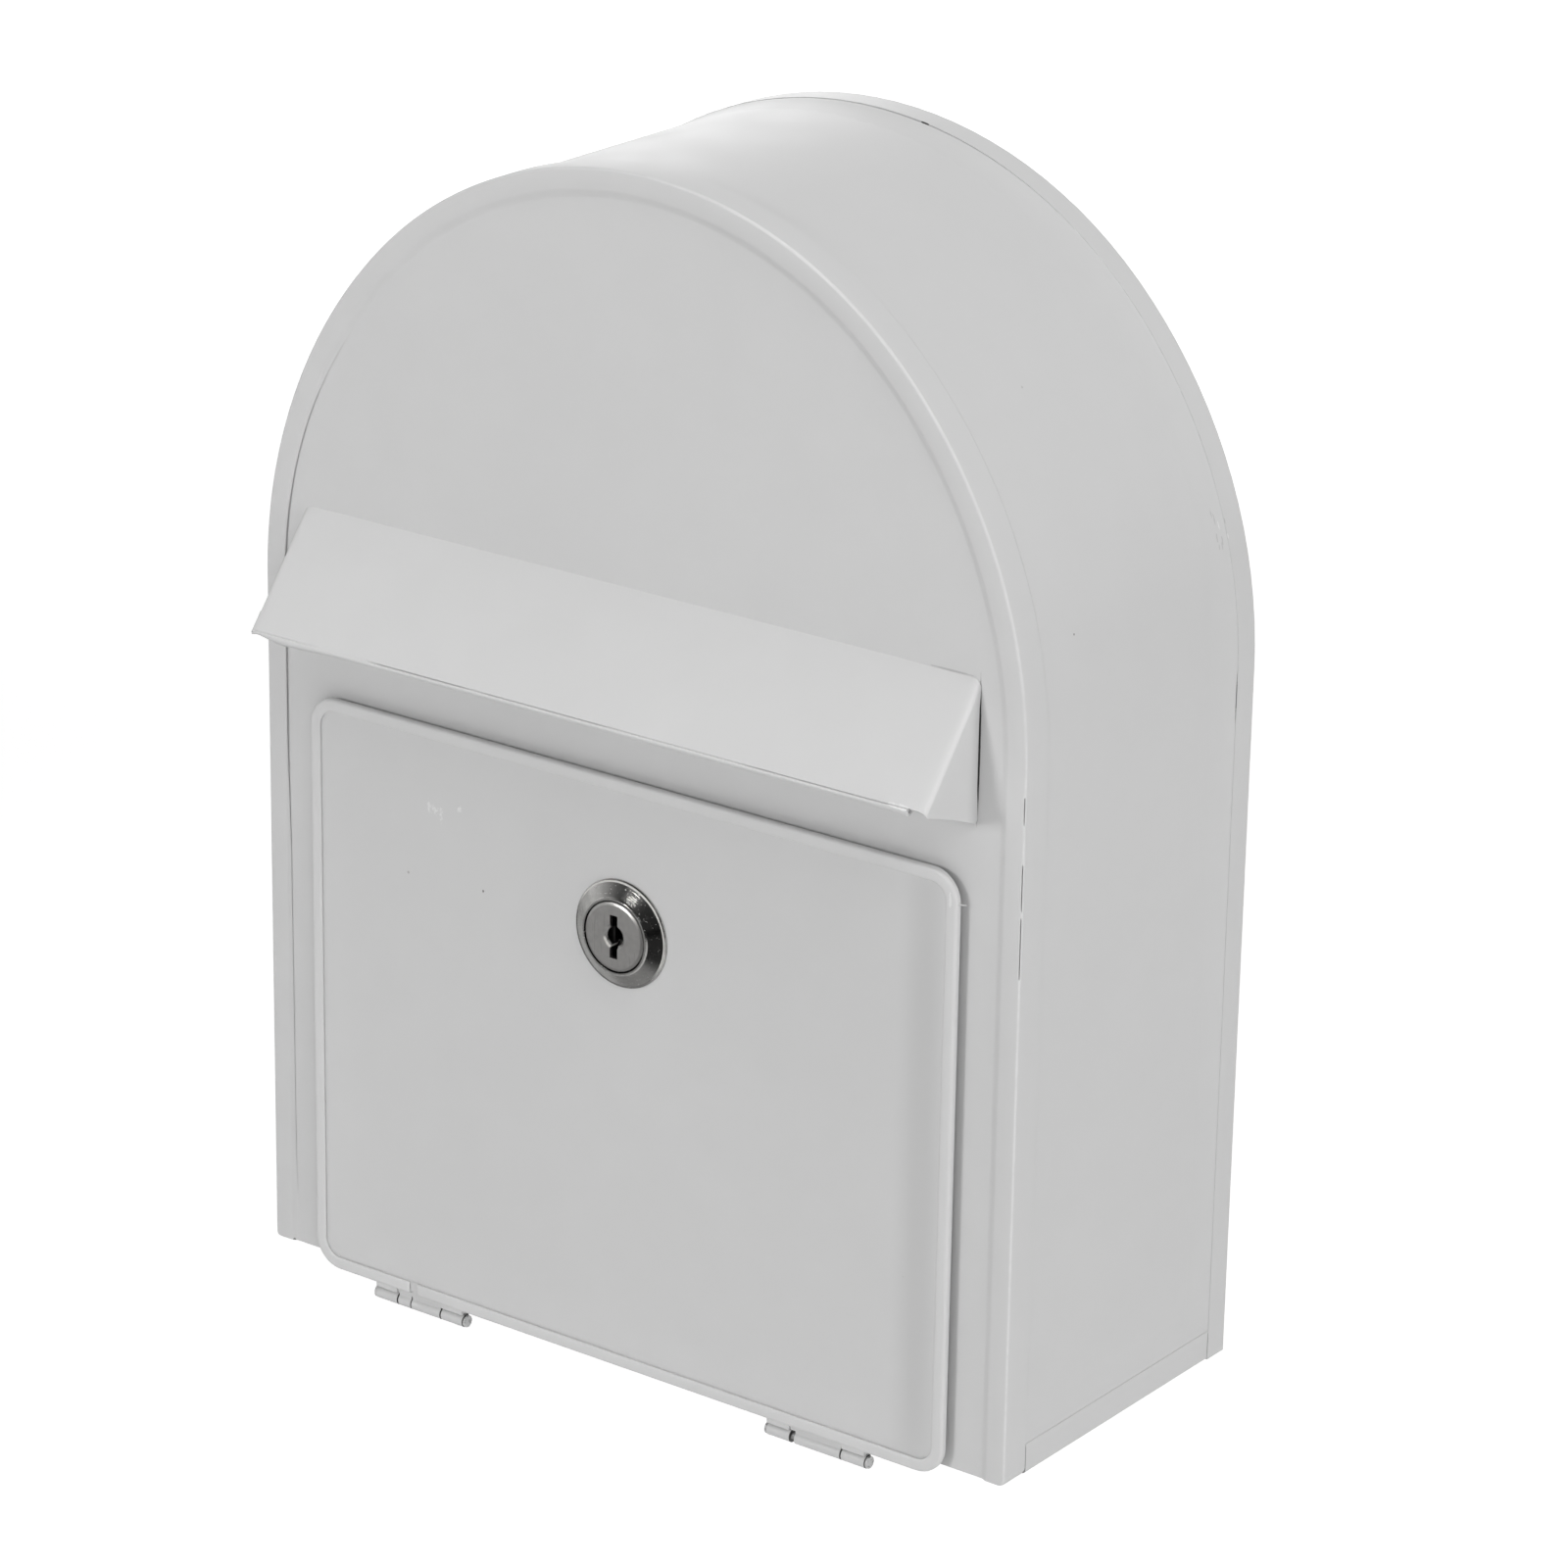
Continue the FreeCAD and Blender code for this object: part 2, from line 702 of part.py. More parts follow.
def make_pin(label, x, low, high):
    """Hinge pin with both ends peened over."""
    body = new_body(label, x, hinge_depth, -D.hinge_axis_drop)
    section = front_sketch(body)
    low_neck = low - D.pin_head_gap
    high_neck = high + D.pin_head_gap
    polygon(section, [
        (low_neck - D.pin_head_height, 0),
        (low_neck - D.pin_head_height, D.pin_head_radius),
        (low_neck, D.pin_head_radius),
        (low_neck, D.pin_radius),
        (high_neck, D.pin_radius),
        (high_neck, D.pin_head_radius),
        (high_neck + D.pin_head_height, D.pin_head_radius),
        (high_neck + D.pin_head_height, 0),
    ])
    turn_round(body, section, "H_Axis")


def make_hinge(side, x, left_gap, slit=False):
    """Two leaves and a pin. The door leaf has the middle knuckle, slit or whole, the fixed leaf the ends."""
    half = D.middle_knuckle / 2
    left_start = -half - left_gap - D.end_knuckle
    right_start = half + D.free_gap
    right_end = right_start + D.end_knuckle
    ends = [(left_start, D.end_knuckle), (right_start, D.end_knuckle)]
    make_leaf(f"{side}_hinge_fixed_leaf", x, 1, left_start, right_end, ends)
    middle = [(-half, D.middle_knuckle)]
    if slit:
        first = D.knuckle_slit_place
        second = first + D.knuckle_slit
        middle = [(-half, first), (second - half, D.middle_knuckle - second)]
    make_leaf(f"{side}_hinge_door_leaf", x, -1, left_start, right_end, middle)
    make_pin(f"{side}_hinge_pin", x, left_start, right_end)


# Cam lock. Its own origin is on the front of the door sheet, on the lock's axis, with Y inwards.
def lock_body(label):
    return new_body(label, 0, door_field, D.lock_height)


def make_lock_housing():
    """Turned body with a conical bezel, two flats and a stop lug on its inner end."""
    body = lock_body("lock_housing")
    head_radius = D.plug_face_radius + D.running_gap * 2
    head_floor = -(D.bezel_height + D.plug_face_proud - D.plug_head_depth - D.running_gap)
    bore = D.plug_radius + D.running_gap
    section = plan_sketch(body)
    polygon(section, [
        (D.bezel_radius, 0),
        (D.bezel_radius, -D.bezel_lip_height / 2),
        (D.bezel_radius - D.lock_bevel, -D.bezel_lip_height),
        (D.bezel_radius - D.bezel_lip_face, -D.bezel_lip_height),
        (D.bezel_ring_radius, D.lock_bevel - D.bezel_height),
        (D.bezel_ring_radius - D.lock_bevel, -D.bezel_height),
        (head_radius, -D.bezel_height),
        (head_radius, head_floor),
        (bore, head_floor),
        (bore, D.lock_body_length),
        (D.lock_body_radius, D.lock_body_length),
        (D.lock_body_radius, 0),
    ])
    turn_round(body, section, "V_Axis")
    flats = front_sketch(body)
    outside = D.lock_body_radius + OVERCUT
    for left, right in ((D.lock_flat, outside), (-outside, -D.lock_flat)):
        rectangle(flats, left, right, -outside, outside)
    cut(body, flats, D.lock_body_length)
    lug = front_sketch(body, -D.lock_body_length)
    rectangle(lug, -D.stop_lug_width / 2, D.stop_lug_width / 2, D.free_gap - D.lock_body_radius,
              -D.stop_hub_radius - D.free_gap)
    grow(body, lug, D.stop_sheet - D.seam_gap, backwards=True)


def make_lock_plug():
    """Turning core with the warded keyway, wafer slots, a square tail and a hole for the cam screw."""
    body = lock_body("lock_plug")
    face = D.bezel_height + D.plug_face_proud
    edge_middle = D.plug_edge * ROUND_MIDDLE
    shoulder = D.lock_body_length + D.seam_gap
    section = plan_sketch(body)
    polygon(section, [
        (0, -face),
        (D.plug_face_radius - D.plug_edge, -face),
        (D.plug_face_radius - edge_middle, edge_middle - face),
        (D.plug_face_radius, D.plug_edge - face),
        (D.plug_face_radius, D.plug_head_depth - face),
        (D.plug_radius, D.plug_head_depth - face),
        (D.plug_radius, shoulder),
        (0, shoulder),
    ])
    turn_round(body, section, "V_Axis")
    tail = front_sketch(body, -shoulder)
    side = D.tail_side / 2
    rectangle(tail, -side, side, -side, side)
    grow(body, tail, cam_back - shoulder - D.seam_gap, backwards=True)
    thread = front_sketch(body, -cam_back)
    circle(thread, 0, 0, D.screw_radius + D.running_gap)
    cut(body, thread, D.screw_length, along_normal=True)
    key_side = D.keyway_width / 2
    key_end = D.keyway_height / 2
    mouth = front_sketch(body, face)
    rectangle(mouth, -key_side, key_side, -key_end, key_end)
    cut(body, mouth, D.ward_depth)
    keyway = front_sketch(body, face)
    polygon(keyway, [
        (-key_side, -key_end), (D.ward_low_x, -key_end), (D.ward_high_x, D.ward_top),
        (key_side, D.ward_top), (key_side, key_end), (-key_side, key_end),
    ])
    cut(body, keyway, D.keyway_depth)
    bore = plan_sketch(body)
    polygon(bore, [
        (0, -face),
        (D.key_bore_mouth, -face),
        (D.key_bore_radius, D.key_bore_bevel - face),
        (D.key_bore_radius, D.key_bore_depth - face),
        (0, D.key_bore_depth - face),
    ])
    turn_away(body, bore, "V_Axis")
    slots = plan_sketch(body, D.plug_radius)
    slot_side = D.wafer_width / 2 + D.running_gap
    for n in range(WAFER_COUNT):
        start = wafer_place(n)
        rectangle(slots, -slot_side, slot_side, start - D.running_gap, start + D.wafer_sheet + D.running_gap)
    cut(body, slots, D.plug_radius * 2)


def wafer_place(n):
    """Depth of the front of a wafer behind the door's face."""
    return D.wafer_start + D.wafer_pitch * n


def make_wafer(n):
    """Flat tumbler in a slot of the plug, with a window for the key."""
    body = lock_body(f"lock_wafer_{n + 1}")
    front = -wafer_place(n)
    outline = front_sketch(body, front)
    side = D.wafer_width / 2
    rectangle(outline, -side, side, -D.wafer_height / 2, D.wafer_height / 2)
    side = D.wafer_window_width / 2
    rectangle(outline, -side, side, -D.wafer_window_height / 2, D.wafer_window_height / 2)
    grow(body, outline, D.wafer_sheet, backwards=True)


def square_hole(body, depth, length):
    """Hole that fits over the plug's tail."""
    side = D.tail_side / 2 + D.running_gap
    hole = front_sketch(body, depth)
    rectangle(hole, -side, side, -side, side)
    cut(body, hole, length)


def make_lock_nut():
    """Six-sided nut that clamps the lock against the back of the door."""
    body = lock_body("lock_nut")
    across = D.nut_flats / 2
    corner = across * (2 / math.sqrt(3))
    outline = front_sketch(body, -D.door_sheet)
    polygon(outline, [
        (0, corner), (-across, corner / 2), (-across, -corner / 2),
        (0, -corner), (across, -corner / 2), (across, corner / 2),
    ])
    grow(body, outline, D.nut_thickness, backwards=True)
    hole = front_sketch(body, -D.door_sheet)
    circle(hole, 0, 0, D.lock_body_radius + D.running_gap)
    cut(body, hole, D.nut_thickness)


def make_stop_washer():
    """Plate on the tail whose cut-away sector lets the lug of the housing through a quarter turn."""
    body = lock_body("lock_stop_washer")
    front = -stop_back + D.stop_sheet
    disc = front_sketch(body, front)
    circle(disc, 0, 0, D.stop_radius)
    grow(body, disc, D.stop_sheet, backwards=True)
    reach = D.stop_radius + OVERCUT
    sector = front_sketch(body, front)
    polygon(sector, [
        (0, 0), (-reach * 0.26, -reach * 0.97), (reach * 0.9, -reach), (reach * 0.97, reach * 0.26),
    ])
    cut(body, sector, D.stop_sheet)
    hub = front_sketch(body, front)
    circle(hub, 0, 0, D.stop_hub_radius)
    grow(body, hub, D.stop_sheet, backwards=True)
    square_hole(body, front, D.stop_sheet)


def make_lock_cam():
    """Cranked strip on the tail that reaches forwards to the back of the front panel."""
    body = lock_body("lock_cam")
    tip_front = door_field - panel_back + D.cam_panel_gap
    crank_depth = stop_back - tip_front
    crank_run = D.cam_crank_run
    slope = diagonal(crank_run, crank_depth)
    mitre = D.cam_sheet / 2 * (slope - crank_run) / crank_depth
    hub_end = D.cam_width / 2
    bend_in = -D.cam_crank_start + mitre
    bend_out = -D.cam_crank_start - mitre
    section = plan_sketch(body, -D.cam_width / 2)
    polygon(section, [
        (hub_end, stop_back),
        (bend_in, stop_back),
        (bend_in - crank_run, tip_front),
        (-D.cam_reach, tip_front),
        (-D.cam_reach, tip_front + D.cam_sheet),
        (bend_out - crank_run, tip_front + D.cam_sheet),
        (bend_out, cam_back),
        (hub_end, cam_back),
    ])
    grow(body, section, D.cam_width)
    reach = -D.cam_reach.value
    hub = hub_end.value
    round_edges(body, D.cam_width / 3, lambda edge: (
        lies_at(edge, x=reach) or lies_at(edge, x=hub)) and near(edge.Length, D.cam_sheet.value))
    square_hole(body, -stop_back, D.cam_sheet)


def make_cam_washer():
    """Plain washer under the head of the cam screw."""
    body = lock_body("cam_washer")
    disc = front_sketch(body, -cam_back)
    circle(disc, 0, 0, D.washer_radius)
    circle(disc, 0, 0, D.screw_radius + D.running_gap)
    grow(body, disc, D.washer_thickness, backwards=True)


def make_cam_screw():
    """Cheese-head screw that holds the cam on the tail."""
    body = lock_body("cam_screw")
    head_top = washer_back + D.screw_head_height
    section = plan_sketch(body)
    polygon(section, [
        (0, washer_back - D.screw_length),
        (D.screw_radius, washer_back - D.screw_length),
        (D.screw_radius, washer_back),
        (D.screw_head_radius, washer_back),
        (D.screw_head_radius, head_top - D.screw_head_bevel),
        (D.screw_head_radius - D.screw_head_bevel, head_top),
        (0, head_top),
    ])
    turn_round(body, section, "V_Axis")
    slot = front_sketch(body, -head_top)
    slot_side = D.screw_slot_width / 2
    rectangle(slot, -D.screw_head_radius, D.screw_head_radius, -slot_side, slot_side)
    cut(body, slot, D.screw_slot_depth, along_normal=True)


make_side_wrap()
make_front_frame()
make_front_panel()
make_back_panel()
make_bottom_plate()
make_rain_visor()
make_door_panel()
make_door_frame()
make_hinge("left", D.left_hinge_x, D.free_gap, slit=True)
make_hinge("right", D.right_hinge_x, D.loose_knuckle_gap)
make_lock_housing()
make_lock_plug()
for wafer in range(WAFER_COUNT):
    make_wafer(wafer)
make_lock_nut()
make_stop_washer()
make_lock_cam()
make_cam_washer()
make_cam_screw()
doc.recompute()

for item in doc.Objects:
    if "Invalid" in item.State or "Error" in item.State:
        raise RuntimeError(f"{item.Label}: {item.State}")
for body in sub_parts:
    if body.Shape.isNull() or not body.Shape.isValid():
        raise RuntimeError(f"{body.Label}: no valid shape")

os.makedirs("parts", exist_ok=True)
for body in sub_parts:
    body.Shape.exportStep(f"parts/{body.Label}.step")
    box = body.Shape.BoundBox
    print(f"{body.Label}: {len(body.Shape.Solids)} solid, {body.Shape.Volume:.0f} mm3, "
          f"x {box.XMin:.2f} {box.XMax:.2f} y {box.YMin:.2f} {box.YMax:.2f} z {box.ZMin:.2f} {box.ZMax:.2f}")
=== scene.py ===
# Looks of the arched wall mailbox: satin grey paint over lapped sheet steel, a plated cam lock,
# soft studio light and a white surround.
import math
from collections import namedtuple

import bmesh
import bpy
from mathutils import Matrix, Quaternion, Vector


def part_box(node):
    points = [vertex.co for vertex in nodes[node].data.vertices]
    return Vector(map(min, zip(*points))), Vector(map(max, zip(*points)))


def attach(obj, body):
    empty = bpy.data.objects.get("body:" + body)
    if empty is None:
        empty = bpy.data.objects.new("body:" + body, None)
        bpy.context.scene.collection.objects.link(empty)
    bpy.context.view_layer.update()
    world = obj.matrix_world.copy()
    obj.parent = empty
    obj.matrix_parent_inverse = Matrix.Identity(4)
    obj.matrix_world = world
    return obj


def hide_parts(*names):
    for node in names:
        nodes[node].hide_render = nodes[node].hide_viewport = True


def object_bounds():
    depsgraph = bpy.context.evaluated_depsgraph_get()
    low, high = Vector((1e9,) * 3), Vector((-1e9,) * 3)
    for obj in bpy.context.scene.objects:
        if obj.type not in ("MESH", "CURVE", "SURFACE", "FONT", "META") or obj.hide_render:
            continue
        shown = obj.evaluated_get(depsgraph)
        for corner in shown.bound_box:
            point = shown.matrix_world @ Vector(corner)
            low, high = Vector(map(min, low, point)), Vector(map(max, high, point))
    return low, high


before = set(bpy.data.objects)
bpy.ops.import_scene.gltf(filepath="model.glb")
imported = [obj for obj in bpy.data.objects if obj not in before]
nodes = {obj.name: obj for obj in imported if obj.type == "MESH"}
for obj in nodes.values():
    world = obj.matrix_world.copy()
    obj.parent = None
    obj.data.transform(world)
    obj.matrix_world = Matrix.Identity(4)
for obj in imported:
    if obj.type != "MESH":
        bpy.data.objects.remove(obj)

cad_low, cad_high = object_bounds()
MM = 0.001
MERGE_DISTANCE = 1e-6

# Sizes of the box, read from its solids
frame_low, frame_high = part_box("front_frame")
panel_low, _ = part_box("front_panel")
back_low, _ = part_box("back_panel")
door_low, door_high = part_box("door_frame")
sheet_low, sheet_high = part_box("door_panel")
visor_low, visor_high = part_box("rain_visor")
bezel_low, bezel_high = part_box("lock_housing")
plug_low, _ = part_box("lock_plug")
half_width = frame_high.x
panel_face = panel_low.y
lock_axis = Vector(((bezel_low.x + bezel_high.x) / 2, 0, (bezel_low.z + bezel_high.z) / 2))

# Arch of the box: straight sides, then three tangent arcs that meet at 45 degrees
STRAIGHT_HEIGHT = 149.5 * MM
spring_z = frame_low.z + STRAIGHT_HEIGHT
arch_rise = frame_high.z - spring_z
arch_excess = (arch_rise - half_width) / (math.sqrt(2) - 1)
side_radius = half_width + arch_excess / math.sqrt(2)
top_radius = side_radius - arch_excess
top_centre_z = spring_z + arch_excess / math.sqrt(2)
ARC_STEPS = 36
LEG_SPACING = 5.0 * MM
FOOT_STEPS = 6

# Front frame: folds, the painted step to the panel, split paint on the right leg, lifted rim on the left
SHEET = 0.6 * MM
RIM_FACE = 5.0 * MM
RIM_BEND = 0.6 * MM
BEND_ANGLES = (90, 75, 60, 47, 36, 25, 13, 0)
SPLIT_ANGLE = 36
LEG_CORNER = 1.4 * MM
PAINTED_EDGE = 0.22 * MM
HINGE_EDGE = 0.08 * MM
LOCK_EDGE = 0.12 * MM
PAINTED_STEP = ((-1.00, 0.0), (-0.62, 0.06), (-0.22, 0.20), (0.18, 0.40), (0.55, 0.54), (0.95, 0.60))
LIFTED_EDGE = ((-0.40, 0.0), (-0.20, 0.03), (-0.05, 0.10), (0.0, 0.16), (0.0, 0.22), (-0.05, 0.26))
CORNER_SPLITS = ((20.0 * MM, 24.0 * MM), (2.6 * MM, 10.4 * MM), (-11.4 * MM, -0.3 * MM))
SPLIT_DEPTH = 0.55 * MM
SPLIT_TAPER = 0.8 * MM
RIM_LIFT = ((-110.0, 0.0), (-100.0, 0.35), (-30.0, 0.55), (-5.0, 1.0), (45.0, 1.0), (68.0, 0.75),
            (90.0, 0.0))
RIGHT_LEG = 0.98 * half_width
LEFT_LEG = -0.7 * half_width

# Paint that fills the lapped seams: its ramp by inset and reach, its spread, and where it has opened
SEAM_RAMP = ((0.10, 0.0), (0.26, 0.16), (0.46, 0.42), (0.62, 0.80), (0.74, 1.25))
SEAM_DEPTH = 0.85 * MM
SEAM_BURIED = 0.3 * MM
TAB_TOP = frame_low.z + 6.6 * MM
FLUSH_SPREAD = 7.0
TAB_SPREAD = 5.0
BACK_SIDE_SPLIT = (19.5 * MM, 30.5 * MM)
BACK_SIDE_GAP = 0.15 * MM
BACK_TOP_GAP = ((-70.0, 0.0), (-40.0, 0.6), (14.0, 0.6), (20.0, 0.4), (55.0, 0.0))
GAP_EDGE = 0.02 * MM

# Door: crowned edge strip with butted ends, and a sheet that rises towards the strip
STRIP_FACE = 2.75 * MM
STRIP_BEND = 0.7 * MM
STRIP_CROWN = 0.10 * MM
STRIP_INNER_BEND = 0.4 * MM
DOOR_CORNER = 6.5 * MM
DOOR_CORNER_STEPS = 14
DOOR_BOTTOM_STEPS = 12
DOOR_SIDE_STEPS = 16
DOOR_TOP_STEPS = 24
JOINT_X = (-55.9 * MM, -54.1 * MM)
JOINT_ROUNDING = (0.0, 0.12 * MM, 0.3 * MM, 0.6 * MM)
JOINT_DROOP = 0.3 * MM
OPEN_GROOVE = ((2.45, -0.02), (2.80, -0.04), (3.00, -0.30))
FILLED_GROOVE = ((2.45, -0.30), (2.80, -0.34), (3.00, -0.38))
DISH_START = 3.3 * MM
DISH_WIDTH = 8.0 * MM
DISH_RISE = 0.40 * MM
DISH_STEPS = 10
DISH_CORNER = 3.0 * MM
LOCK_HOLE = 9.6 * MM
THREAD_PATH = ((81.2, -81.9, 0.80), (81.9, -81.75, 0.66), (82.5, -81.5, 0.58), (83.0, -81.2, 0.60))
THREAD_RADIUS = 0.17 * MM
THREAD_TAPER = 0.6
THREAD_SIDES = 6

# Painted lips of the door above the hinges' end knuckles
KNUCKLE_SPANS = ((-65.5, -59.9), (-47.7, -42.1), (37.9, 43.5), (56.6, 62.2))
HINGE_LIP_FRONT = door_low.y + 0.8 * MM
HINGE_LIP_BACK = door_high.y
HINGE_LIP_LOW = door_low.z - 1.25 * MM
HINGE_LIP_HIGH = door_low.z + 0.3 * MM
HINGE_LIP_BEND = 0.25 * MM

# Rain visor: bends, hem, flared left tip and the gap behind its cheeks
VISOR_SLOPE_HEIGHT = 23.0 * MM
VISOR_BEND = 3.9 * MM
BEND_TIGHTENING = 4.0
VISOR_CHEEK_GAP = 0.4 * MM
CHEEK_GAP_SHAPE = ((0.0, 0.0), (0.08, 0.0), (0.2, 1.0), (0.8, 1.0), (0.92, 0.0))
CHEEK_HOLLOW = 0.35 * MM
VISOR_TOP_GAP = 0.1 * MM
VISOR_TOP_GAP_LENGTH = 10.0 * MM
RISE_SHARES = (0.0, 0.02, 0.045, 0.08, 0.13, 0.2, 0.3, 0.4, 0.5, 0.6, 0.7, 0.8, 0.9, 1.0)
VISOR_LUMP = 0.42 * MM
VISOR_LUMP_WIDTH = 4.0 * MM
VISOR_LUMP_HEIGHT = 1.3 * MM
HEM_END = 4.0 * MM
HEM_TAIL = 4.5 * MM
HEM_RADIUS = 0.65 * MM
HEM_OPENING = 0.30 * MM
HEM_OPENING_WIDTH = 6.0 * MM
HEM_SETBACK = 1.1 * MM
HEM_LEFT_SHAPE = ((-84.5, -0.35), (-82.0, -0.2), (-77.0, 0.5), (-72.0, 0.35), (-62.0, 0.0))
HEM_BEND_COLUMNS = 13
VISOR_LEFT_FLARE = 0.9 * MM
HEM_CREASE = ((0.10, -0.06), (0.26, -0.14), (0.10, -0.22), (0.0, -0.32))
HEM_CURL_START = -0.32 * MM
CREASE_DEPTHS = ((-80.0, 0.6), (-70.0, 0.6), (-67.0, 0.2), (-54.0, 0.2), (-51.0, 1.7), (-29.0, 1.7),
                 (-26.0, 0.9), (-22.0, 1.4), (5.0, 1.5), (10.0, 0.9), (38.0, 0.8), (44.0, 1.5),
                 (76.0, 1.5))
CHEEK_END = 0.999
VISOR_EDGE = 0.12 * MM
VISOR_CUT_ANGLE = math.radians(60)

# Camera fitted to the photograph, and the studio
CAMERA_PLACE = Vector((0.68258, -0.95289, 0.41781))
CAMERA_AIM = Vector((0.03835, -0.08, 0.01448))
CAMERA_ROLL = math.radians(-0.979)
CAMERA_LENS = 136.76
FLOOR_DROP = 0.2
FLOOR_REACH = 30.0
FLOOR_COLOUR = (0.8, 0.8, 0.8, 1)
FLOOR_LEFT_IN_METAL = (0.36, 0.36, 0.36, 1)
FLOOR_RIGHT_IN_METAL = (0.03, 0.03, 0.03, 1)
FLOOR_LEFT_SPAN = (-0.01, 0.13)
FLOOR_BEHIND_SPAN = (-0.22, -0.05)
FLOOR_BEHIND_SLANT = 0.7
FLOOR_NEAR_GLOW = 0.5
FLOOR_FAR_GLOW = 1.0
FLOOR_SPAN = (0.9, 2.2)
FAR_GLOW_IN_METAL = 0.52
BACK_GLOW_IN_METAL = 0.25
WORLD_LIGHT = 0.185
ROOM_SPAN = (-0.45, 0.55)
ROOM_BEHIND_BOX = 0.8
ROOM_BEHIND_CAMERA = 0.03
ROOM_BACK_SPAN = (-0.85, -0.45)
ROOM_BACK_SHARE = 0.75
LAMP_AIM = Vector((0, -0.04, 0))
LAMP_DISTANCE = 1.8
# Lamps: name, azimuth and elevation in degrees, size in metres, watts, and whether metal shows them
LAMPS = (
    ("front_left_lamp", -17, 17, 0.35, 10.5, True),
    ("front_right_softbox", 30, 10, 0.9, 4.4, False),
    ("right_upper_softbox", 60, 45, 0.9, 7.8, True),
    ("right_softbox", 90, 10, 0.9, 9.3, True),
    ("top_softbox", 0, 85, 0.9, 11.4, True),
    ("back_left_softbox", -150, 10, 0.9, 3.6, True),
)

# Colours, some standing for painted shade or painted highlight, and the softness of crisp and faint spots
GREY_PAINT = (0.60, 0.60, 0.60, 1)
# Lighter copy of the grey paint as painted highlight, for the door's edge strip, its paint thread and the
# hinge lips
LIT_STRIP_PAINT = (0.635, 0.635, 0.635, 1)
# Painted shade for a soft band on the door sheet by its right edge strip
DOOR_EDGE_SHADE = (0.535, 0.535, 0.535, 1)
PRIMER = (0.16, 0.155, 0.15, 1)
SCUFFED_PAINT = (0.48, 0.48, 0.48, 1)
SHADED_PAINT = (0.30, 0.30, 0.30, 1)
RUBBED_PAINT = (0.72, 0.72, 0.72, 1)
# Painted highlights on the door strip's corner and on the visor's lip
PAINTED_HIGHLIGHT = (0.73, 0.73, 0.73, 1)
# Painted highlight along the frame's right fold
FOLD_HIGHLIGHT = (0.665, 0.665, 0.665, 1)
# Painted shade under the visor's lifted top edge
TOP_GAP_SHADE = (0.45, 0.45, 0.45, 1)
# Near-black painted shade in gaps, splits and knuckle joints
GAP_SHADE = (0.06, 0.06, 0.058, 1)
PLATED = (0.52, 0.515, 0.50, 1)
PLUG_STEEL = (0.51, 0.502, 0.49, 1)
ZINC = (0.62, 0.63, 0.64, 1)
CRISP = 0.2
FAINT = 0.9

# Sprayed paint: grain per metre, the share and edge of its dust specks, its roughness and its peel
NOISE_SPAN = (0.3, 0.7)
CLOUD_GRAIN = 14.0
DRIFT_GRAIN = 85.0
DRIFT_SPAN = (0.2, 0.8)
SPECK_GRAIN = 55.0
SPECK_DRAW = 0.8
SPECK_EDGE = (0.012, 0.022)
SPECK_STRENGTH = 0.45
PAINT_ROUGHNESS = (0.30, 0.38)
PAINT_GLOSS = 0.45
CLOUDING = 0.012
PEEL_SIZE = 1.1 * MM
PEEL_DEPTH = 0.05 * MM
PEEL_STRENGTH = 0.12
SPOT_NOISE_SPAN = (0.35, 0.65)

# Lock metal: rings about its axis, the side painted in shade, and spans over which marks, painted shade
# and painted highlights fade
PLUG_GAP_RADIUS = 7.5 * MM
KEY_BORE_RADIUS = 2.45 * MM
BEZEL_LIP_RADIUS = 11.1 * MM
ACROSS_AXIS = (1, 0, 1)
SHADED_SIDE = (-0.5, 0.0, -0.87)
GAP_SHADE_SPAN = (0.16 * MM, 0.26 * MM)
GAP_SHADE_SIDE_SPAN = (-0.35, 0.35)
GAP_SHADE_LEVEL = 0.93
BORE_SHADE_SPAN = (0.45 * MM, 1.1 * MM)
EDGE_SHADE_SPAN = (-0.2 * MM, 0.2 * MM)
EDGE_SHADE_LEVEL = 0.5
BORE_RIM_SPAN = (0.12 * MM, 0.3 * MM)
BORE_RIM_SIDE_SPAN = (0.3, 0.8)
LIP_HIGHLIGHT_SPAN = (0.1 * MM, 0.28 * MM)
LIP_SIDE_SPAN = (-0.2, 0.5)
HIGHLIGHT_STRENGTH = 0.9
HIGHLIGHT_AND_PIT_TONE = 2.0
HIGHLIGHT_AND_PIT_ROUGHNESS = 0.6
SCRATCH_STRETCH = (2600, 2600, 260)
SCRATCH_SPAN = (0.62, 0.72)
SCRATCH_TONE = -0.12
SCRATCH_ROUGHNESS = 0.2
PATCH_GRAIN = 650.0
PATCH_TONES = (0.9, 1.04)
PIT_GRAIN = 2300.0
PIT_SPAN = (0.66, 0.72)
PIT_STRENGTH = 0.7
RING_DEPTH = 0.02 * MM
SHEEN_TONES = (0.85, 1.05)


# Node helpers
def add(tree, kind, settings=None, **inputs):
    """Adds a node. Its settings are attributes, and its inputs are values or other nodes' outputs."""
    made = tree.nodes.new(kind)
    for name, value in (settings or {}).items():
        setattr(made, name, value)
    for name, value in inputs.items():
        feed(tree, made.inputs[name.replace("_", " ")], value)
    return made


def feed(tree, socket, value):
    if isinstance(value, bpy.types.NodeSocket):
        tree.links.new(value, socket)
    else:
        socket.default_value = value


def calculate(tree, operation, *values):
    made = tree.nodes.new("ShaderNodeMath")
    made.operation = operation
    for socket, value in zip(made.inputs, values):
        feed(tree, socket, value)
    return made.outputs[0]


def vector_math(tree, operation, *values):
    made = tree.nodes.new("ShaderNodeVectorMath")
    made.operation = operation
    for socket, value in zip(made.inputs, values):
        feed(tree, socket, value)
    return made.outputs["Value"] if operation in ("LENGTH", "DOT_PRODUCT") else made.outputs["Vector"]


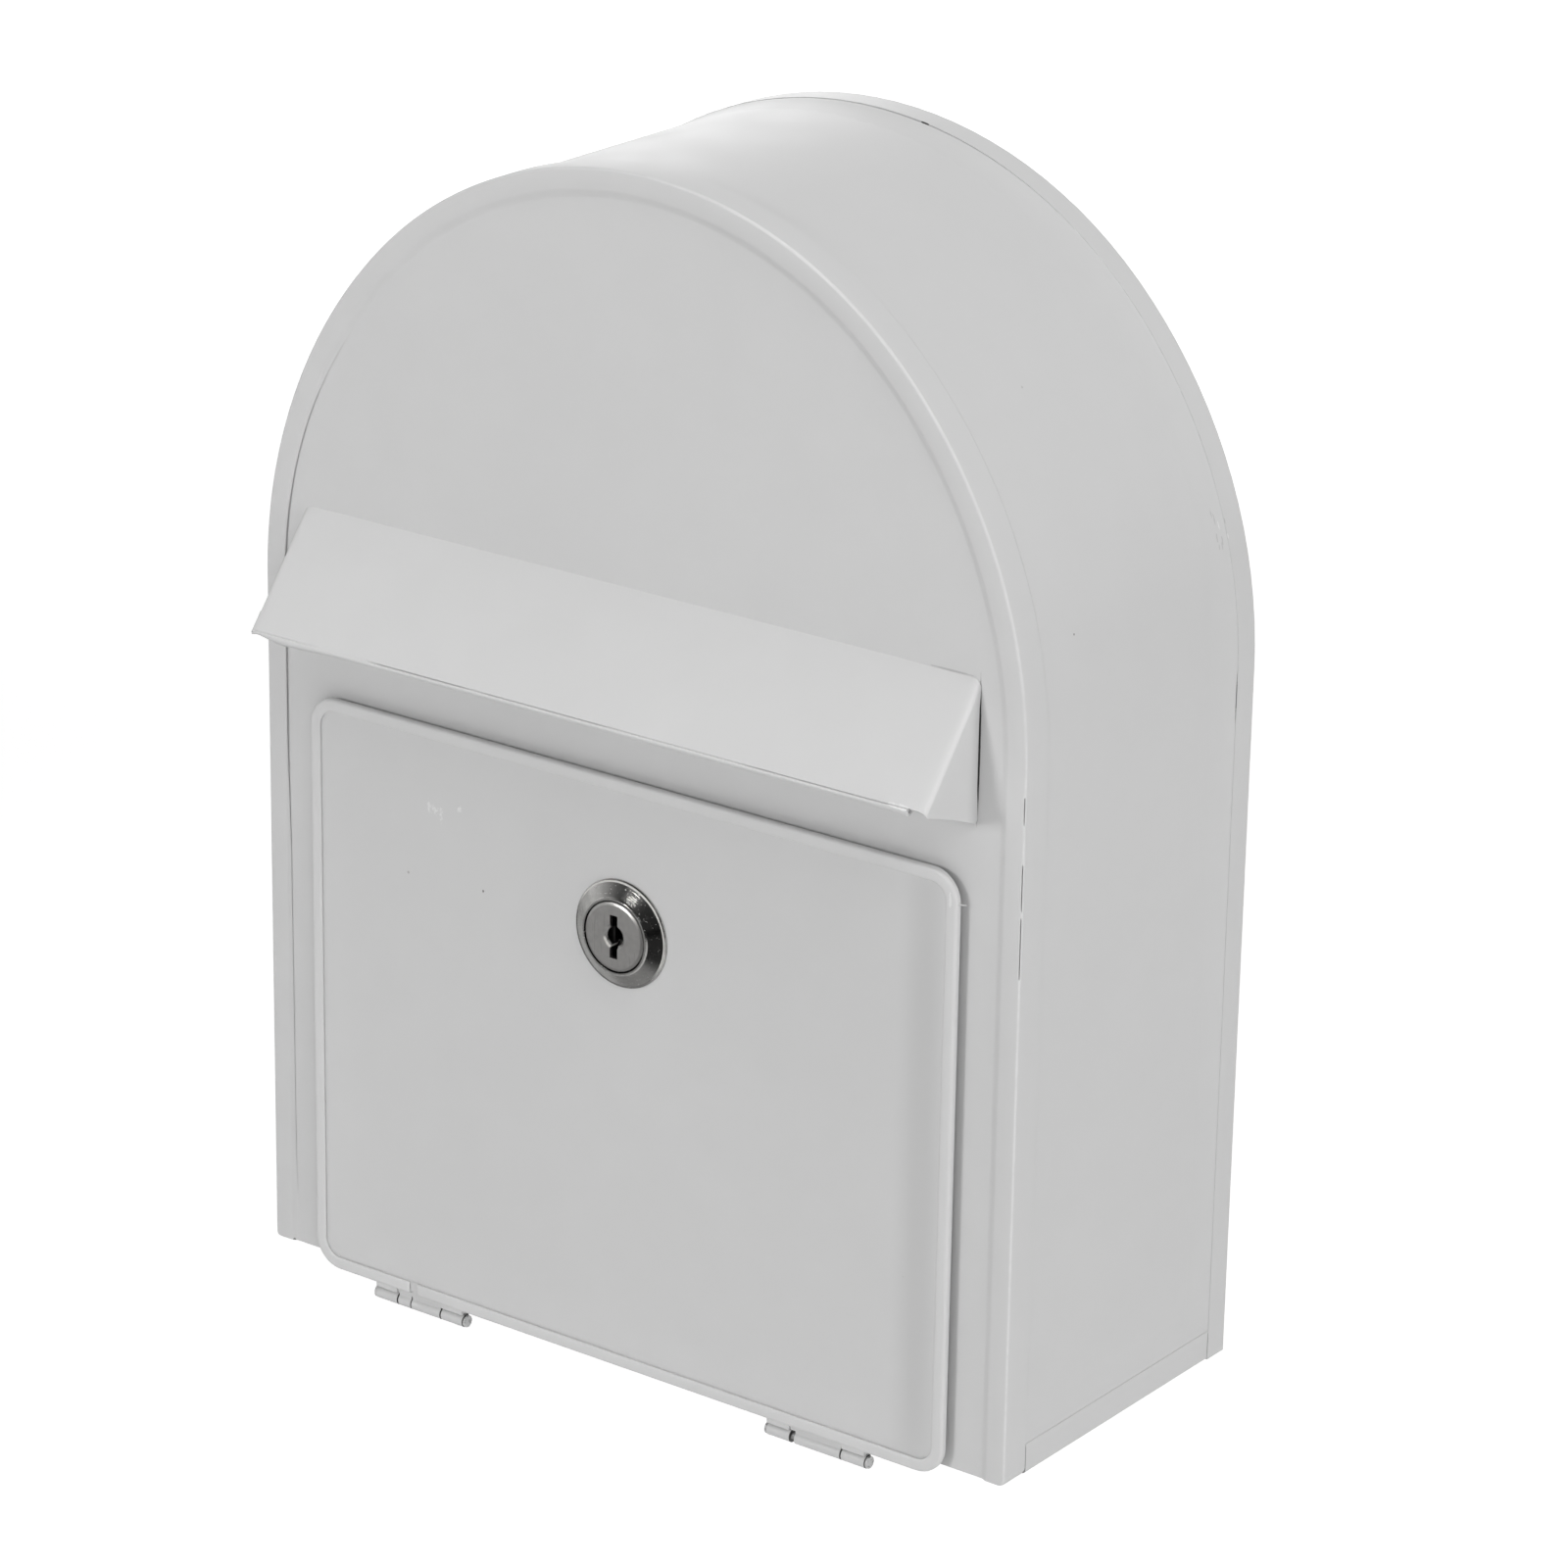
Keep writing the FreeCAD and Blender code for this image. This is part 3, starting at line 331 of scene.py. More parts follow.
def mix_colours(tree, factor, first, second):
    made = tree.nodes.new("ShaderNodeMix")
    made.data_type = "RGBA"
    colour_a, colour_b = [socket for socket in made.inputs if socket.type == "RGBA"]
    feed(tree, made.inputs[0], factor)
    feed(tree, colour_a, first)
    feed(tree, colour_b, second)
    return next(socket for socket in made.outputs if socket.type == "RGBA")


def rescale(tree, value, span, first, last, interpolation="LINEAR"):
    """Goes from a first to a last level over a span of the value."""
    made = add(tree, "ShaderNodeMapRange", {"interpolation_type": interpolation},
               Value=value, From_Min=span[0], From_Max=span[1], To_Min=first, To_Max=last)
    return made.outputs["Result"]


def fade(tree, value, span, first, last):
    """Goes smoothly from a first to a last level over a span of the value."""
    return rescale(tree, value, span, first, last, "SMOOTHSTEP")


def scale_colour(tree, colour, factor):
    scaled = vector_math(tree, "SCALE", colour)
    feed(tree, scaled.node.inputs["Scale"], factor)
    return scaled


def noise(tree, vector, scale, detail=2.0, roughness=0.5):
    made = add(tree, "ShaderNodeTexNoise", Vector=vector, Scale=scale, Detail=detail,
               Roughness=roughness)
    return made.outputs["Fac"]


def new_group(name, inputs, outputs):
    """Starts a shader node group with named sockets and returns its tree, inputs and output node."""
    tree = bpy.data.node_groups.new(name, "ShaderNodeTree")
    kinds = {"colour": "NodeSocketColor", "value": "NodeSocketFloat", "vector": "NodeSocketVector"}
    for direction, sockets in (("INPUT", inputs), ("OUTPUT", outputs)):
        for label, kind in sockets.items():
            tree.interface.new_socket(label, in_out=direction, socket_type=kinds[kind])
    return tree, tree.nodes.new("NodeGroupInput").outputs, tree.nodes.new("NodeGroupOutput")


def use_group(tree, group, **inputs):
    made = tree.nodes.new("ShaderNodeGroup")
    made.node_tree = group
    for name, value in inputs.items():
        feed(tree, made.inputs[name.replace("_", " ")], value)
    return made.outputs


def object_place(tree):
    return tree.nodes.new("ShaderNodeTexCoord").outputs["Object"]


# Shared surface effects
def make_paint_skin():
    """Sprayed and baked paint: faint clouds of tone, a fine orange peel and a few dust specks."""
    tree, given, result = new_group(
        "sprayed_paint",
        {"Paint": "colour", "Clouding": "value", "Peel Size": "value", "Speck Colour": "colour"},
        {"Colour": "colour", "Roughness": "value", "Height": "value"})
    place = object_place(tree)
    clouds = noise(tree, place, CLOUD_GRAIN, detail=3.0, roughness=0.55)
    drift = noise(tree, place, DRIFT_GRAIN)
    tone = calculate(tree, "ADD", rescale(tree, clouds, NOISE_SPAN, -1.0, 1.0),
                     rescale(tree, drift, NOISE_SPAN, -0.5, 0.5))
    lightness = calculate(tree, "MULTIPLY_ADD", tone, given["Clouding"], 1.0)
    toned = scale_colour(tree, given["Paint"], lightness)
    cells = add(tree, "ShaderNodeTexVoronoi", Vector=place, Scale=SPECK_GRAIN).outputs
    drawn = add(tree, "ShaderNodeSeparateColor", Color=cells["Color"]).outputs[0]
    chosen = calculate(tree, "GREATER_THAN", drawn, SPECK_DRAW)
    near = fade(tree, cells["Distance"], SPECK_EDGE, 1.0, 0.0)
    speck = calculate(tree, "MULTIPLY", calculate(tree, "MULTIPLY", chosen, near), SPECK_STRENGTH)
    feed(tree, result.inputs["Colour"], mix_colours(tree, speck, toned, given["Speck Colour"]))
    feed(tree, result.inputs["Roughness"], rescale(tree, drift, DRIFT_SPAN, *PAINT_ROUGHNESS))
    peel_scale = calculate(tree, "DIVIDE", 1.0, given["Peel Size"])
    feed(tree, result.inputs["Height"], noise(tree, place, peel_scale, detail=1.0))
    return tree


def make_ragged_spot():
    """Mask of one ragged spot: an ellipsoid about a place, broken up by noise."""
    tree, given, result = new_group(
        "ragged_spot",
        {"Place": "vector", "Size": "vector", "Raggedness": "value", "Grain": "value",
         "Softness": "value"},
        {"Mask": "value"})
    place = object_place(tree)
    from_spot = vector_math(tree, "SUBTRACT", place, given["Place"])
    reach = vector_math(tree, "LENGTH", vector_math(tree, "DIVIDE", from_spot, given["Size"]))
    flecks = noise(tree, place, given["Grain"], detail=3.0, roughness=0.6)
    broken = rescale(tree, flecks, SPOT_NOISE_SPAN, -1.0, 1.0)
    ragged = calculate(tree, "MULTIPLY_ADD", broken, given["Raggedness"], reach)
    solid = calculate(tree, "SUBTRACT", 1.0, given["Softness"])
    feed(tree, result.inputs["Mask"], fade(tree, ragged, (solid, 1.0), 1.0, 0.0))
    return tree


def make_turned_marks():
    """Marks about the lock's axis: fine rings, scratches, painted shade in gaps and deep in the keyway,
    painted highlights on rims, and pits.
    """
    tree, given, result = new_group(
        "turned_marks",
        {"Axis Place": "vector", "Ring Width": "value", "Scratching": "value", "Gap Radius": "value",
         "Bore Radius": "value", "Lip Radius": "value", "Face": "value", "Bore Grime": "value",
         "Pitting": "value"},
        {"Height": "value", "Roughness": "value", "Tone": "value"})
    place = object_place(tree)
    from_axis = vector_math(tree, "MULTIPLY", vector_math(tree, "SUBTRACT", place, given["Axis Place"]),
                            ACROSS_AXIS)
    radius = vector_math(tree, "LENGTH", from_axis)
    outward = vector_math(tree, "NORMALIZE", from_axis)
    shaded_side = vector_math(tree, "DOT_PRODUCT", outward, SHADED_SIDE)

    def past(ring):
        return calculate(tree, "SUBTRACT", radius, given[ring])

    def beside(ring, span, level):
        """Band on both sides of a ring."""
        return fade(tree, calculate(tree, "ABSOLUTE", past(ring)), span, level, 0.0)

    def limit(mark, span, first, last):
        """Keeps a mark to one side of the lock."""
        return calculate(tree, "MULTIPLY", mark, fade(tree, shaded_side, span, first, last))

    turns = calculate(tree, "DIVIDE", radius, given["Ring Width"])
    rings = add(tree, "ShaderNodeTexNoise", {"noise_dimensions": "1D"}, W=turns, Scale=1.0, Detail=2.0)
    scratched = noise(tree, vector_math(tree, "MULTIPLY", place, SCRATCH_STRETCH), 1.0)
    scratches = calculate(tree, "MULTIPLY", fade(tree, scratched, SCRATCH_SPAN, 0.0, 1.0),
                          given["Scratching"])
    patches = rescale(tree, noise(tree, place, PATCH_GRAIN), NOISE_SPAN, *PATCH_TONES)
    worn = calculate(tree, "MULTIPLY_ADD", scratches, SCRATCH_TONE, patches)

    # Painted shade: on one side of the plug's gap, deep in the keyway, and beyond the bezel's lip on the
    # same side
    gap_shade = limit(beside("Gap Radius", GAP_SHADE_SPAN, 1.0), GAP_SHADE_SIDE_SPAN, 0.0, GAP_SHADE_LEVEL)
    depth = calculate(tree, "SUBTRACT", add(tree, "ShaderNodeSeparateXYZ", Vector=place).outputs["Y"],
                      given["Face"])
    bore_shade = calculate(tree, "MULTIPLY", fade(tree, depth, BORE_SHADE_SPAN, 0.0, 1.0),
                           given["Bore Grime"])
    edge_shade = limit(fade(tree, past("Lip Radius"), EDGE_SHADE_SPAN, 0.0, EDGE_SHADE_LEVEL),
                       LIP_SIDE_SPAN, 0.0, 1.0)
    lock_shade = calculate(tree, "MAXIMUM", calculate(tree, "MAXIMUM", gap_shade, bore_shade), edge_shade)
    unshaded = calculate(tree, "SUBTRACT", 1.0, lock_shade)

    # Painted highlights: on the key bore's rim towards the shaded side and on the bezel's lip away from
    # it; pits lighten too
    bore_rim = limit(beside("Bore Radius", BORE_RIM_SPAN, HIGHLIGHT_STRENGTH), BORE_RIM_SIDE_SPAN, 0.0, 1.0)
    lip = limit(beside("Lip Radius", LIP_HIGHLIGHT_SPAN, HIGHLIGHT_STRENGTH), LIP_SIDE_SPAN, 1.0, 0.0)
    pits = calculate(tree, "MULTIPLY",
                     rescale(tree, noise(tree, place, PIT_GRAIN), PIT_SPAN, 0.0, PIT_STRENGTH),
                     given["Pitting"])
    highlights_and_pits = calculate(tree, "MAXIMUM", calculate(tree, "MAXIMUM", bore_rim, lip), pits)

    feed(tree, result.inputs["Height"], calculate(tree, "SUBTRACT", rings.outputs["Fac"], scratches))
    feed(tree, result.inputs["Tone"],
         calculate(tree, "MAXIMUM", calculate(tree, "MULTIPLY", worn, unshaded),
                   calculate(tree, "MULTIPLY", highlights_and_pits, HIGHLIGHT_AND_PIT_TONE)))
    feed(tree, result.inputs["Roughness"],
         calculate(tree, "MULTIPLY_ADD", scratches, SCRATCH_ROUGHNESS,
                   calculate(tree, "MULTIPLY", highlights_and_pits, HIGHLIGHT_AND_PIT_ROUGHNESS)))
    return tree


paint_skin = make_paint_skin()
ragged_spot = make_ragged_spot()
turned_marks = make_turned_marks()


# Materials
def new_material(name, **constants):
    """Material with one principled shader, and constants set on the shader's own sockets."""
    material = bpy.data.materials.new(name)
    material.use_nodes = True
    shader = material.node_tree.nodes["Principled BSDF"]
    for label, value in constants.items():
        shader.inputs[label.replace("_", " ")].default_value = value
    return material, material.node_tree, shader


def raise_surface(tree, shader, height, strength, distance, edge_radius=None):
    """Feeds a height to the shader's normal, over edges that paint has rounded."""
    bump = add(tree, "ShaderNodeBump", Height=height, Strength=strength, Distance=distance)
    if edge_radius:
        soft_edge = add(tree, "ShaderNodeBevel", {"samples": 4}, Radius=edge_radius)
        feed(tree, bump.inputs["Normal"], soft_edge.outputs["Normal"])
    feed(tree, shader.inputs["Normal"], bump.outputs["Normal"])


def make_grey_paint(name, spots=(), edge_radius=None, paint=GREY_PAINT):
    """Satin grey paint with spots of wear, painted shade and painted highlight."""
    material, tree, shader = new_material(name, Specular_IOR_Level=PAINT_GLOSS)
    skin = use_group(tree, paint_skin, Paint=paint, Clouding=CLOUDING, Peel_Size=PEEL_SIZE,
                     Speck_Colour=PRIMER)
    colour = skin["Colour"]
    for spot in spots:
        mask = use_group(tree, ragged_spot, Place=Vector(spot.place) * MM, Size=Vector(spot.size) * MM,
                         Raggedness=spot.raggedness, Grain=spot.grain, Softness=spot.softness)
        colour = mix_colours(tree, mask["Mask"], colour, spot.colour)
    feed(tree, shader.inputs["Base Color"], colour)
    feed(tree, shader.inputs["Roughness"], skin["Roughness"])
    raise_surface(tree, shader, skin["Height"], PEEL_STRENGTH, PEEL_DEPTH, edge_radius)
    return material


def make_lock_metal(name, colour, roughness, ring_width, scratching, strength, bore_shade=0.0,
                    pitting=0.0):
    """Turned metal about the lock's axis."""
    material, tree, shader = new_material(name, Metallic=1.0)
    marks = use_group(tree, turned_marks, Axis_Place=lock_axis, Ring_Width=ring_width,
                      Scratching=scratching, Gap_Radius=PLUG_GAP_RADIUS,
                      Bore_Radius=KEY_BORE_RADIUS, Lip_Radius=BEZEL_LIP_RADIUS, Face=plug_low.y,
                      Bore_Grime=bore_shade, Pitting=pitting)
    feed(tree, shader.inputs["Base Color"], scale_colour(tree, colour[:3], marks["Tone"]))
    feed(tree, shader.inputs["Roughness"], calculate(tree, "ADD", marks["Roughness"], roughness))
    raise_surface(tree, shader, marks["Height"], strength, RING_DEPTH, LOCK_EDGE)
    return material


def make_bare_metal(name, colour, grain, low, high):
    """Zinc plate with a cloudy sheen."""
    material, tree, shader = new_material(name, Metallic=1.0)
    clouds = noise(tree, object_place(tree), grain, detail=3.0, roughness=0.6)
    sheen = rescale(tree, clouds, NOISE_SPAN, *SHEEN_TONES)
    feed(tree, shader.inputs["Base Color"], scale_colour(tree, colour[:3], sheen))
    feed(tree, shader.inputs["Roughness"], rescale(tree, clouds, NOISE_SPAN, low, high))
    return material


# Spots of wear, painted shade and painted highlight: place and size in millimetres, colour, raggedness,
# grain per metre and softness
Spot = namedtuple("Spot", "place size colour raggedness grain softness", defaults=[CRISP])
side_chips = (
    Spot((91.9, -60.7, 51.8), (1.0, 0.22, 0.28), PRIMER, 0.3, 1500.0),
)
back_scuffs = (
    Spot((88.9, -9.7, 62.6), (2.0, 0.17, 1.0), SCUFFED_PAINT, 0.3, 1600.0),
    Spot((89.3, -9.1, 61.3), (2.0, 0.15, 1.3), SCUFFED_PAINT, 0.3, 1600.0),
    Spot((89.7, -8.2, 60.0), (2.0, 0.17, 0.9), RUBBED_PAINT, 0.3, 1600.0),
    Spot((89.6, -6.3, 60.5), (2.0, 0.15, 0.5), SCUFFED_PAINT, 0.3, 1600.0),
    Spot((90.4, -9.4, 57.8), (2.0, 0.20, 0.9), SCUFFED_PAINT, 0.3, 1600.0),
    Spot((90.6, -8.0, 56.9), (2.0, 0.18, 1.0), SCUFFED_PAINT, 0.3, 1600.0),
    Spot((90.4, -6.3, 57.6), (2.0, 0.20, 0.6), RUBBED_PAINT, 0.3, 1600.0),
    Spot((90.9, -9.2, 55.9), (2.0, 0.17, 0.7), SCUFFED_PAINT, 0.3, 1600.0),
    Spot((90.9, -8.3, 56.0), (2.0, 0.15, 0.9), SCUFFED_PAINT, 0.3, 1600.0),
)
frame_shade_and_highlight = (
    # Painted shade in the notch where the rim's seam ends at the lower left
    Spot((-90.0, -79.8, -119.9), (0.35, 1.0, 0.32), PRIMER, 0.3, 1200.0),
    # Painted highlight along the frame's right fold
    Spot((94.82, -79.82, -48.0), (0.32, 0.32, 150.0), FOLD_HIGHLIGHT, 0.2, 500.0, FAINT),
)
door_marks_and_edge_shade = (
    Spot((-50.2, -82.0, -10.8), (0.60, 3.0, 1.9), RUBBED_PAINT, 0.5, 1800.0, FAINT),
    Spot((-48.6, -82.0, -11.0), (0.90, 3.0, 1.0), RUBBED_PAINT, 0.6, 1800.0, FAINT),
    Spot((-47.0, -82.0, -11.8), (0.55, 3.0, 1.7), RUBBED_PAINT, 0.5, 1800.0, FAINT),
    Spot((-42.1, -82.0, -9.4), (0.80, 3.0, 0.8), RUBBED_PAINT, 0.5, 1800.0, FAINT),
    Spot((-35.9, -82.0, -25.7), (0.22, 3.0, 0.30), PRIMER, 0.4, 1500.0),
    # Painted shade: a soft darker band on the door sheet by the right edge strip
    Spot((74.5, -82.0, -57.0), (7.5, 5.0, 200.0), DOOR_EDGE_SHADE, 0.0, 100.0, FAINT),
)
strip_shade_and_highlight = (
    # Painted shade in the gap where the edge strip's ends meet
    Spot((-55.2, -81.8, -120.4), (0.75, 0.4, 1.6), SHADED_PAINT, 0.1, 900.0),
    # Painted highlight on the strip's upper right corner
    Spot((80.0, -82.4, 1.1), (0.35, 1.0, 1.6), PAINTED_HIGHLIGHT, 0.3, 900.0),
)
visor_gap_shades = (
    # Painted shade on the panel in the gap behind the right cheek
    Spot((83.55, -79.4, 31.8), (0.42, 1.0, 15.5), GAP_SHADE, 0.05, 600.0),
    # Painted shade under the visor's top edge at its right end
    Spot((77.0, -79.4, 46.3), (5.5, 1.0, 0.22), TOP_GAP_SHADE, 0.15, 500.0),
)
visor_lump_highlight = (
    # Painted highlight on the lump where the hem ends on the right
    Spot((77.9, -96.9, 24.1), (2.5, 1.4, 0.50), PAINTED_HIGHLIGHT, 0.35, 500.0),
)
# Painted shade in the open splits of the back seam and at both ends of the right tab's seam
seam_split_shades = (
    Spot((16.1, -6.65, 128.4), (1.15, 0.40, 1.4), GAP_SHADE, 0.15, 900.0),
    Spot((94.6, -6.60, 25.0), (1.0, 0.16, 5.6), SHADED_PAINT, 0.1, 900.0),
    Spot((94.8, -6.60, -116.8), (1.0, 0.17, 3.6), SHADED_PAINT, 0.1, 900.0),
    Spot((94.8, -72.6, -116.8), (1.0, 0.2, 3.6), SHADED_PAINT, 0.1, 900.0),
)
# Pins darker over their middles: bare pin there, with painted shade where it shows in the knuckle gaps
pin_middles = (
    Spot((-53.8, -80.3, -124.6), (11.6, 5.0, 5.0), SHADED_PAINT, 0.5, 1400.0),
    Spot((50.05, -80.3, -124.6), (11.6, 5.0, 5.0), SHADED_PAINT, 0.5, 1400.0),
)
# Painted shade on the knuckles' end faces at the joints between them
KNUCKLE_ENDS = (-59.8, -56.1, -48.1, -42.0, 43.6, 56.2, 62.3)
knuckle_joint_shades = tuple(Spot((x, -80.25, -124.6), (0.12, 2.2, 2.2), GAP_SHADE, 0.05, 900.0)
                       for x in KNUCKLE_ENDS)
grey_paint = make_grey_paint("grey_paint", edge_radius=PAINTED_EDGE)
frame_paint = make_grey_paint("grey_paint_frame", frame_shade_and_highlight)
visor_paint = make_grey_paint("grey_paint_visor", visor_lump_highlight)
seam_paint = make_grey_paint("grey_paint_seams", seam_split_shades + back_scuffs)
tab_paint = make_grey_paint("grey_paint_tabs", seam_split_shades, PAINTED_EDGE)
back_paint = make_grey_paint("grey_paint_back", seam_split_shades + back_scuffs, PAINTED_EDGE)
side_paint = make_grey_paint("grey_paint_side", side_chips + seam_split_shades, PAINTED_EDGE)
panel_paint = make_grey_paint("grey_paint_front", visor_gap_shades, PAINTED_EDGE)
door_paint = make_grey_paint("grey_paint_door", door_marks_and_edge_shade)
# Lighter copy of the door's paint: painted highlight on the edge strip
lit_strip_paint = make_grey_paint("grey_paint_strip_lit", strip_shade_and_highlight, paint=LIT_STRIP_PAINT)
hinge_paint = make_grey_paint("grey_paint_hinges", knuckle_joint_shades, HINGE_EDGE)
pin_paint = make_grey_paint("grey_paint_pins", pin_middles, HINGE_EDGE)
bezel_plate = make_lock_metal("polished_plate", PLATED, roughness=0.13, ring_width=0.05 * MM,
                              scratching=0.6, strength=0.25, pitting=1.0)
plug_steel = make_lock_metal("plug_steel", PLUG_STEEL, roughness=0.36, ring_width=0.04 * MM,
                             scratching=1.0, strength=0.4, bore_shade=0.88)
zinc_plate = make_bare_metal("zinc_plate", ZINC, grain=900.0, low=0.28, high=0.45)


def dress(names, material):
    for name in names:
        slots = nodes[name].data.materials
        slots.clear()
        slots.append(material)


dress(["front_panel"], panel_paint)
dress(["back_panel"], back_paint)
dress(["bottom_plate"], tab_paint)
dress(["rain_visor", "front_frame", "door_frame"], grey_paint)
dress(["left_hinge_fixed_leaf", "left_hinge_door_leaf",
       "right_hinge_fixed_leaf", "right_hinge_door_leaf"], hinge_paint)
dress(["side_wrap"], side_paint)
dress(["door_panel"], door_paint)
dress(["lock_housing"], bezel_plate)
dress(["lock_plug", "lock_wafer_1", "lock_wafer_2", "lock_wafer_3", "lock_wafer_4"], plug_steel)
dress(["lock_nut", "lock_stop_washer", "lock_cam", "cam_washer", "cam_screw"], zinc_plate)
dress(["left_hinge_pin", "right_hinge_pin"], pin_paint)


# Mesh helpers
def stretch(place, low, high, taper):
    """1 from low to high, fading to 0 over a taper beyond them."""
    beyond = max(low - place, place - high, 0.0)
    return max(1.0 - beyond / taper, 0.0)


def follow(curve, place):
    """Value of a curve of (place, value) points, straight between them and level beyond its ends."""
    for (low, first), (high, second) in zip(curve, curve[1:]):
        if place < high:
            return first + (second - first) * max(place - low, 0.0) / (high - low)
    return curve[-1][1]


def smooth_step(share):
    return share * share * (3 - 2 * share)


def rounded_profile(corners, steps=5):
    """Closed section of corners (across, up, radius), each rounded by its radius."""
    points = []
    count = len(corners)
    for i, (across, up, radius) in enumerate(corners):
        here = Vector((across, up))
        if not radius:
            points.append(here)
            continue
        before = (Vector(corners[i - 1][:2]) - here).normalized()
        after = (Vector(corners[(i + 1) % count][:2]) - here).normalized()
        half_angle = before.angle(after) / 2
        tangent = radius / math.tan(half_angle)
        centre = here + (before + after).normalized() * (radius / math.sin(half_angle))
        start = here + before * tangent - centre
        end = here + after * tangent - centre
        for k in range(steps + 1):
            mixed = start.lerp(end, k / steps).normalized() * radius
            points.append(centre + mixed)
    return points


def bridge(mesh, first, second):
    """Faces between two closed rings with as many points."""
    for i in range(len(first)):
        j = (i + 1) % len(first)
        mesh.faces.new((first[i], first[j], second[j], second[i]))


def sweep(mesh, stations, section_at):
    """Sweeps a section of (inset, depth) points along stations of outer point, normal and least inset."""
    rings = []
    for outer, normal, clip in stations:
        places = [(outer - normal * max(inset, clip), depth) for inset, depth in section_at(outer)]
        rings.append([mesh.verts.new((place.x, depth, place.z)) for place, depth in places])
    for first, second in zip(rings, rings[1:]):
        bridge(mesh, first, second)
    mesh.faces.new(rings[0])
    mesh.faces.new(list(reversed(rings[-1])))


def make_piece(mesh, name, material, body, node=None, sharp_degrees=35, thickness=None):
    """Turns a mesh into a painted piece that rides with its body and may stand for a solid."""
    bmesh.ops.remove_doubles(mesh, verts=mesh.verts, dist=MERGE_DISTANCE)
    bmesh.ops.recalc_face_normals(mesh, faces=mesh.faces)
    data = bpy.data.meshes.new(name)
    mesh.to_mesh(data)
    mesh.free()
    piece = bpy.data.objects.new(name, data)
    bpy.context.scene.collection.objects.link(piece)
    if thickness:
        thicken(piece, thickness)
    piece.data.materials.append(material)
    piece.data.polygons.foreach_set("use_smooth", [True] * len(piece.data.polygons))
    piece.data.set_sharp_from_angle(angle=math.radians(sharp_degrees))
    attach(piece, body)
    if node:
        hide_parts(node)
    return piece


def thicken(piece, thickness):
    """Gives a skin the thickness of its sheet on the inside, and eases its cut edges."""
    sheet = piece.modifiers.new("sheet", "SOLIDIFY")
    sheet.thickness = thickness
    sheet.offset = -1
    eased = piece.modifiers.new("eased_edges", "BEVEL")
    eased.width = VISOR_EDGE
    eased.segments = 2
    eased.limit_method = "ANGLE"
    eased.angle_limit = VISOR_CUT_ANGLE
    graph = bpy.context.evaluated_depsgraph_get()
    data = bpy.data.meshes.new_from_object(piece.evaluated_get(graph))
    piece.modifiers.clear()
    piece.data = data


# Front frame: a strip of angle section round the arch, open at the bottom
def leg_heights():
    """Heights of a leg's stations: even, and closer at the rounded foot, the tabs and the splits."""
    heights = {LEG_CORNER * (k / FOOT_STEPS) ** 2 for k in range(FOOT_STEPS + 1)}
    heights |= {LEG_SPACING * k for k in range(1, math.ceil(STRAIGHT_HEIGHT / LEG_SPACING))}
    heights.add(TAB_TOP - frame_low.z)
    for low, high in CORNER_SPLITS + (BACK_SIDE_SPLIT,):
        heights |= {place - frame_low.z for place in (low - SPLIT_TAPER, low, high, high + SPLIT_TAPER)}
    return sorted(height for height in heights if height < STRAIGHT_HEIGHT)


def arch_stations():
    """Outer points, normals and least insets from the right foot over the arch to the left foot."""
    stations = []
    for up in leg_heights():
        gap = max(LEG_CORNER - up, 0.0)
        clip = LEG_CORNER - math.sqrt(LEG_CORNER ** 2 - gap ** 2)
        stations.append((Vector((half_width, 0, frame_low.z + up)), Vector((1, 0, 0)), clip))
    arcs = ((Vector((half_width - side_radius, 0, spring_z)), side_radius, 0),
            (Vector((0, 0, top_centre_z)), top_radius, 45))
    for centre, radius, start in arcs:
        for k in range(ARC_STEPS):
            angle = math.radians(start + 45 * k / ARC_STEPS)
            normal = Vector((math.cos(angle), 0, math.sin(angle)))
            stations.append((centre + normal * radius, normal, 0.0))
    stations.append((Vector((0, 0, frame_high.z)), Vector((0, 0, 1)), 0.0))
    across = Vector((-1, 1, 1))
    mirrored = [(outer * across, normal * across, clip) for outer, normal, clip in stations[-2::-1]]
    return stations + mirrored


def frame_section(outer):
    """Section of the front frame, with split paint on the right leg and a lifted rim on the left."""
    front, back = frame_low.y, frame_high.y
    on_right = outer.x > RIGHT_LEG
    on_left = outer.x < LEFT_LEG
    split = on_right * SPLIT_DEPTH * max(stretch(outer.z, *span, SPLIT_TAPER) for span in CORNER_SPLITS)
    lifted = on_left * follow(RIM_LIFT, outer.z / MM)
    section = [(0, back)]
    for degrees in BEND_ANGLES:
        angle = math.radians(degrees)
        radius = RIM_BEND - (split if degrees == SPLIT_ANGLE else 0.0)
        section.append((RIM_BEND - radius * math.sin(angle),
                        front + RIM_BEND - radius * math.cos(angle)))
    for painted, open_edge in zip(PAINTED_STEP, LIFTED_EDGE):
        across, down = (a + (b - a) * lifted for a, b in zip(painted, open_edge))
        section.append((RIM_FACE + across * MM, front + down * MM))
    return section + [(RIM_FACE / 2, front + SHEET), (SHEET, front + SHEET), (SHEET, back)]


def make_front_frame():
    mesh = bmesh.new()
    sweep(mesh, arch_stations(), frame_section)
    make_piece(mesh, "front_frame_strip", frame_paint, "box", "front_frame")


# Paint in the lapped seams
def seam_section(edge, toward, gap=0.0, spread=1.0):
    """Hollow ramp of paint from a lapped edge, or from a gap beside it, to the wrap under it."""
    ramp = [(inset * MM, edge + toward * (gap + reach * spread * MM)) for inset, reach in SEAM_RAMP]
    start = edge + toward * (gap - GAP_EDGE if gap else -SEAM_BURIED)
    return ramp + [(SEAM_DEPTH, ramp[-1][1]), (SEAM_DEPTH, start), (ramp[0][0], start)]


def front_seam_section(_):
    return seam_section(frame_high.y, 1)


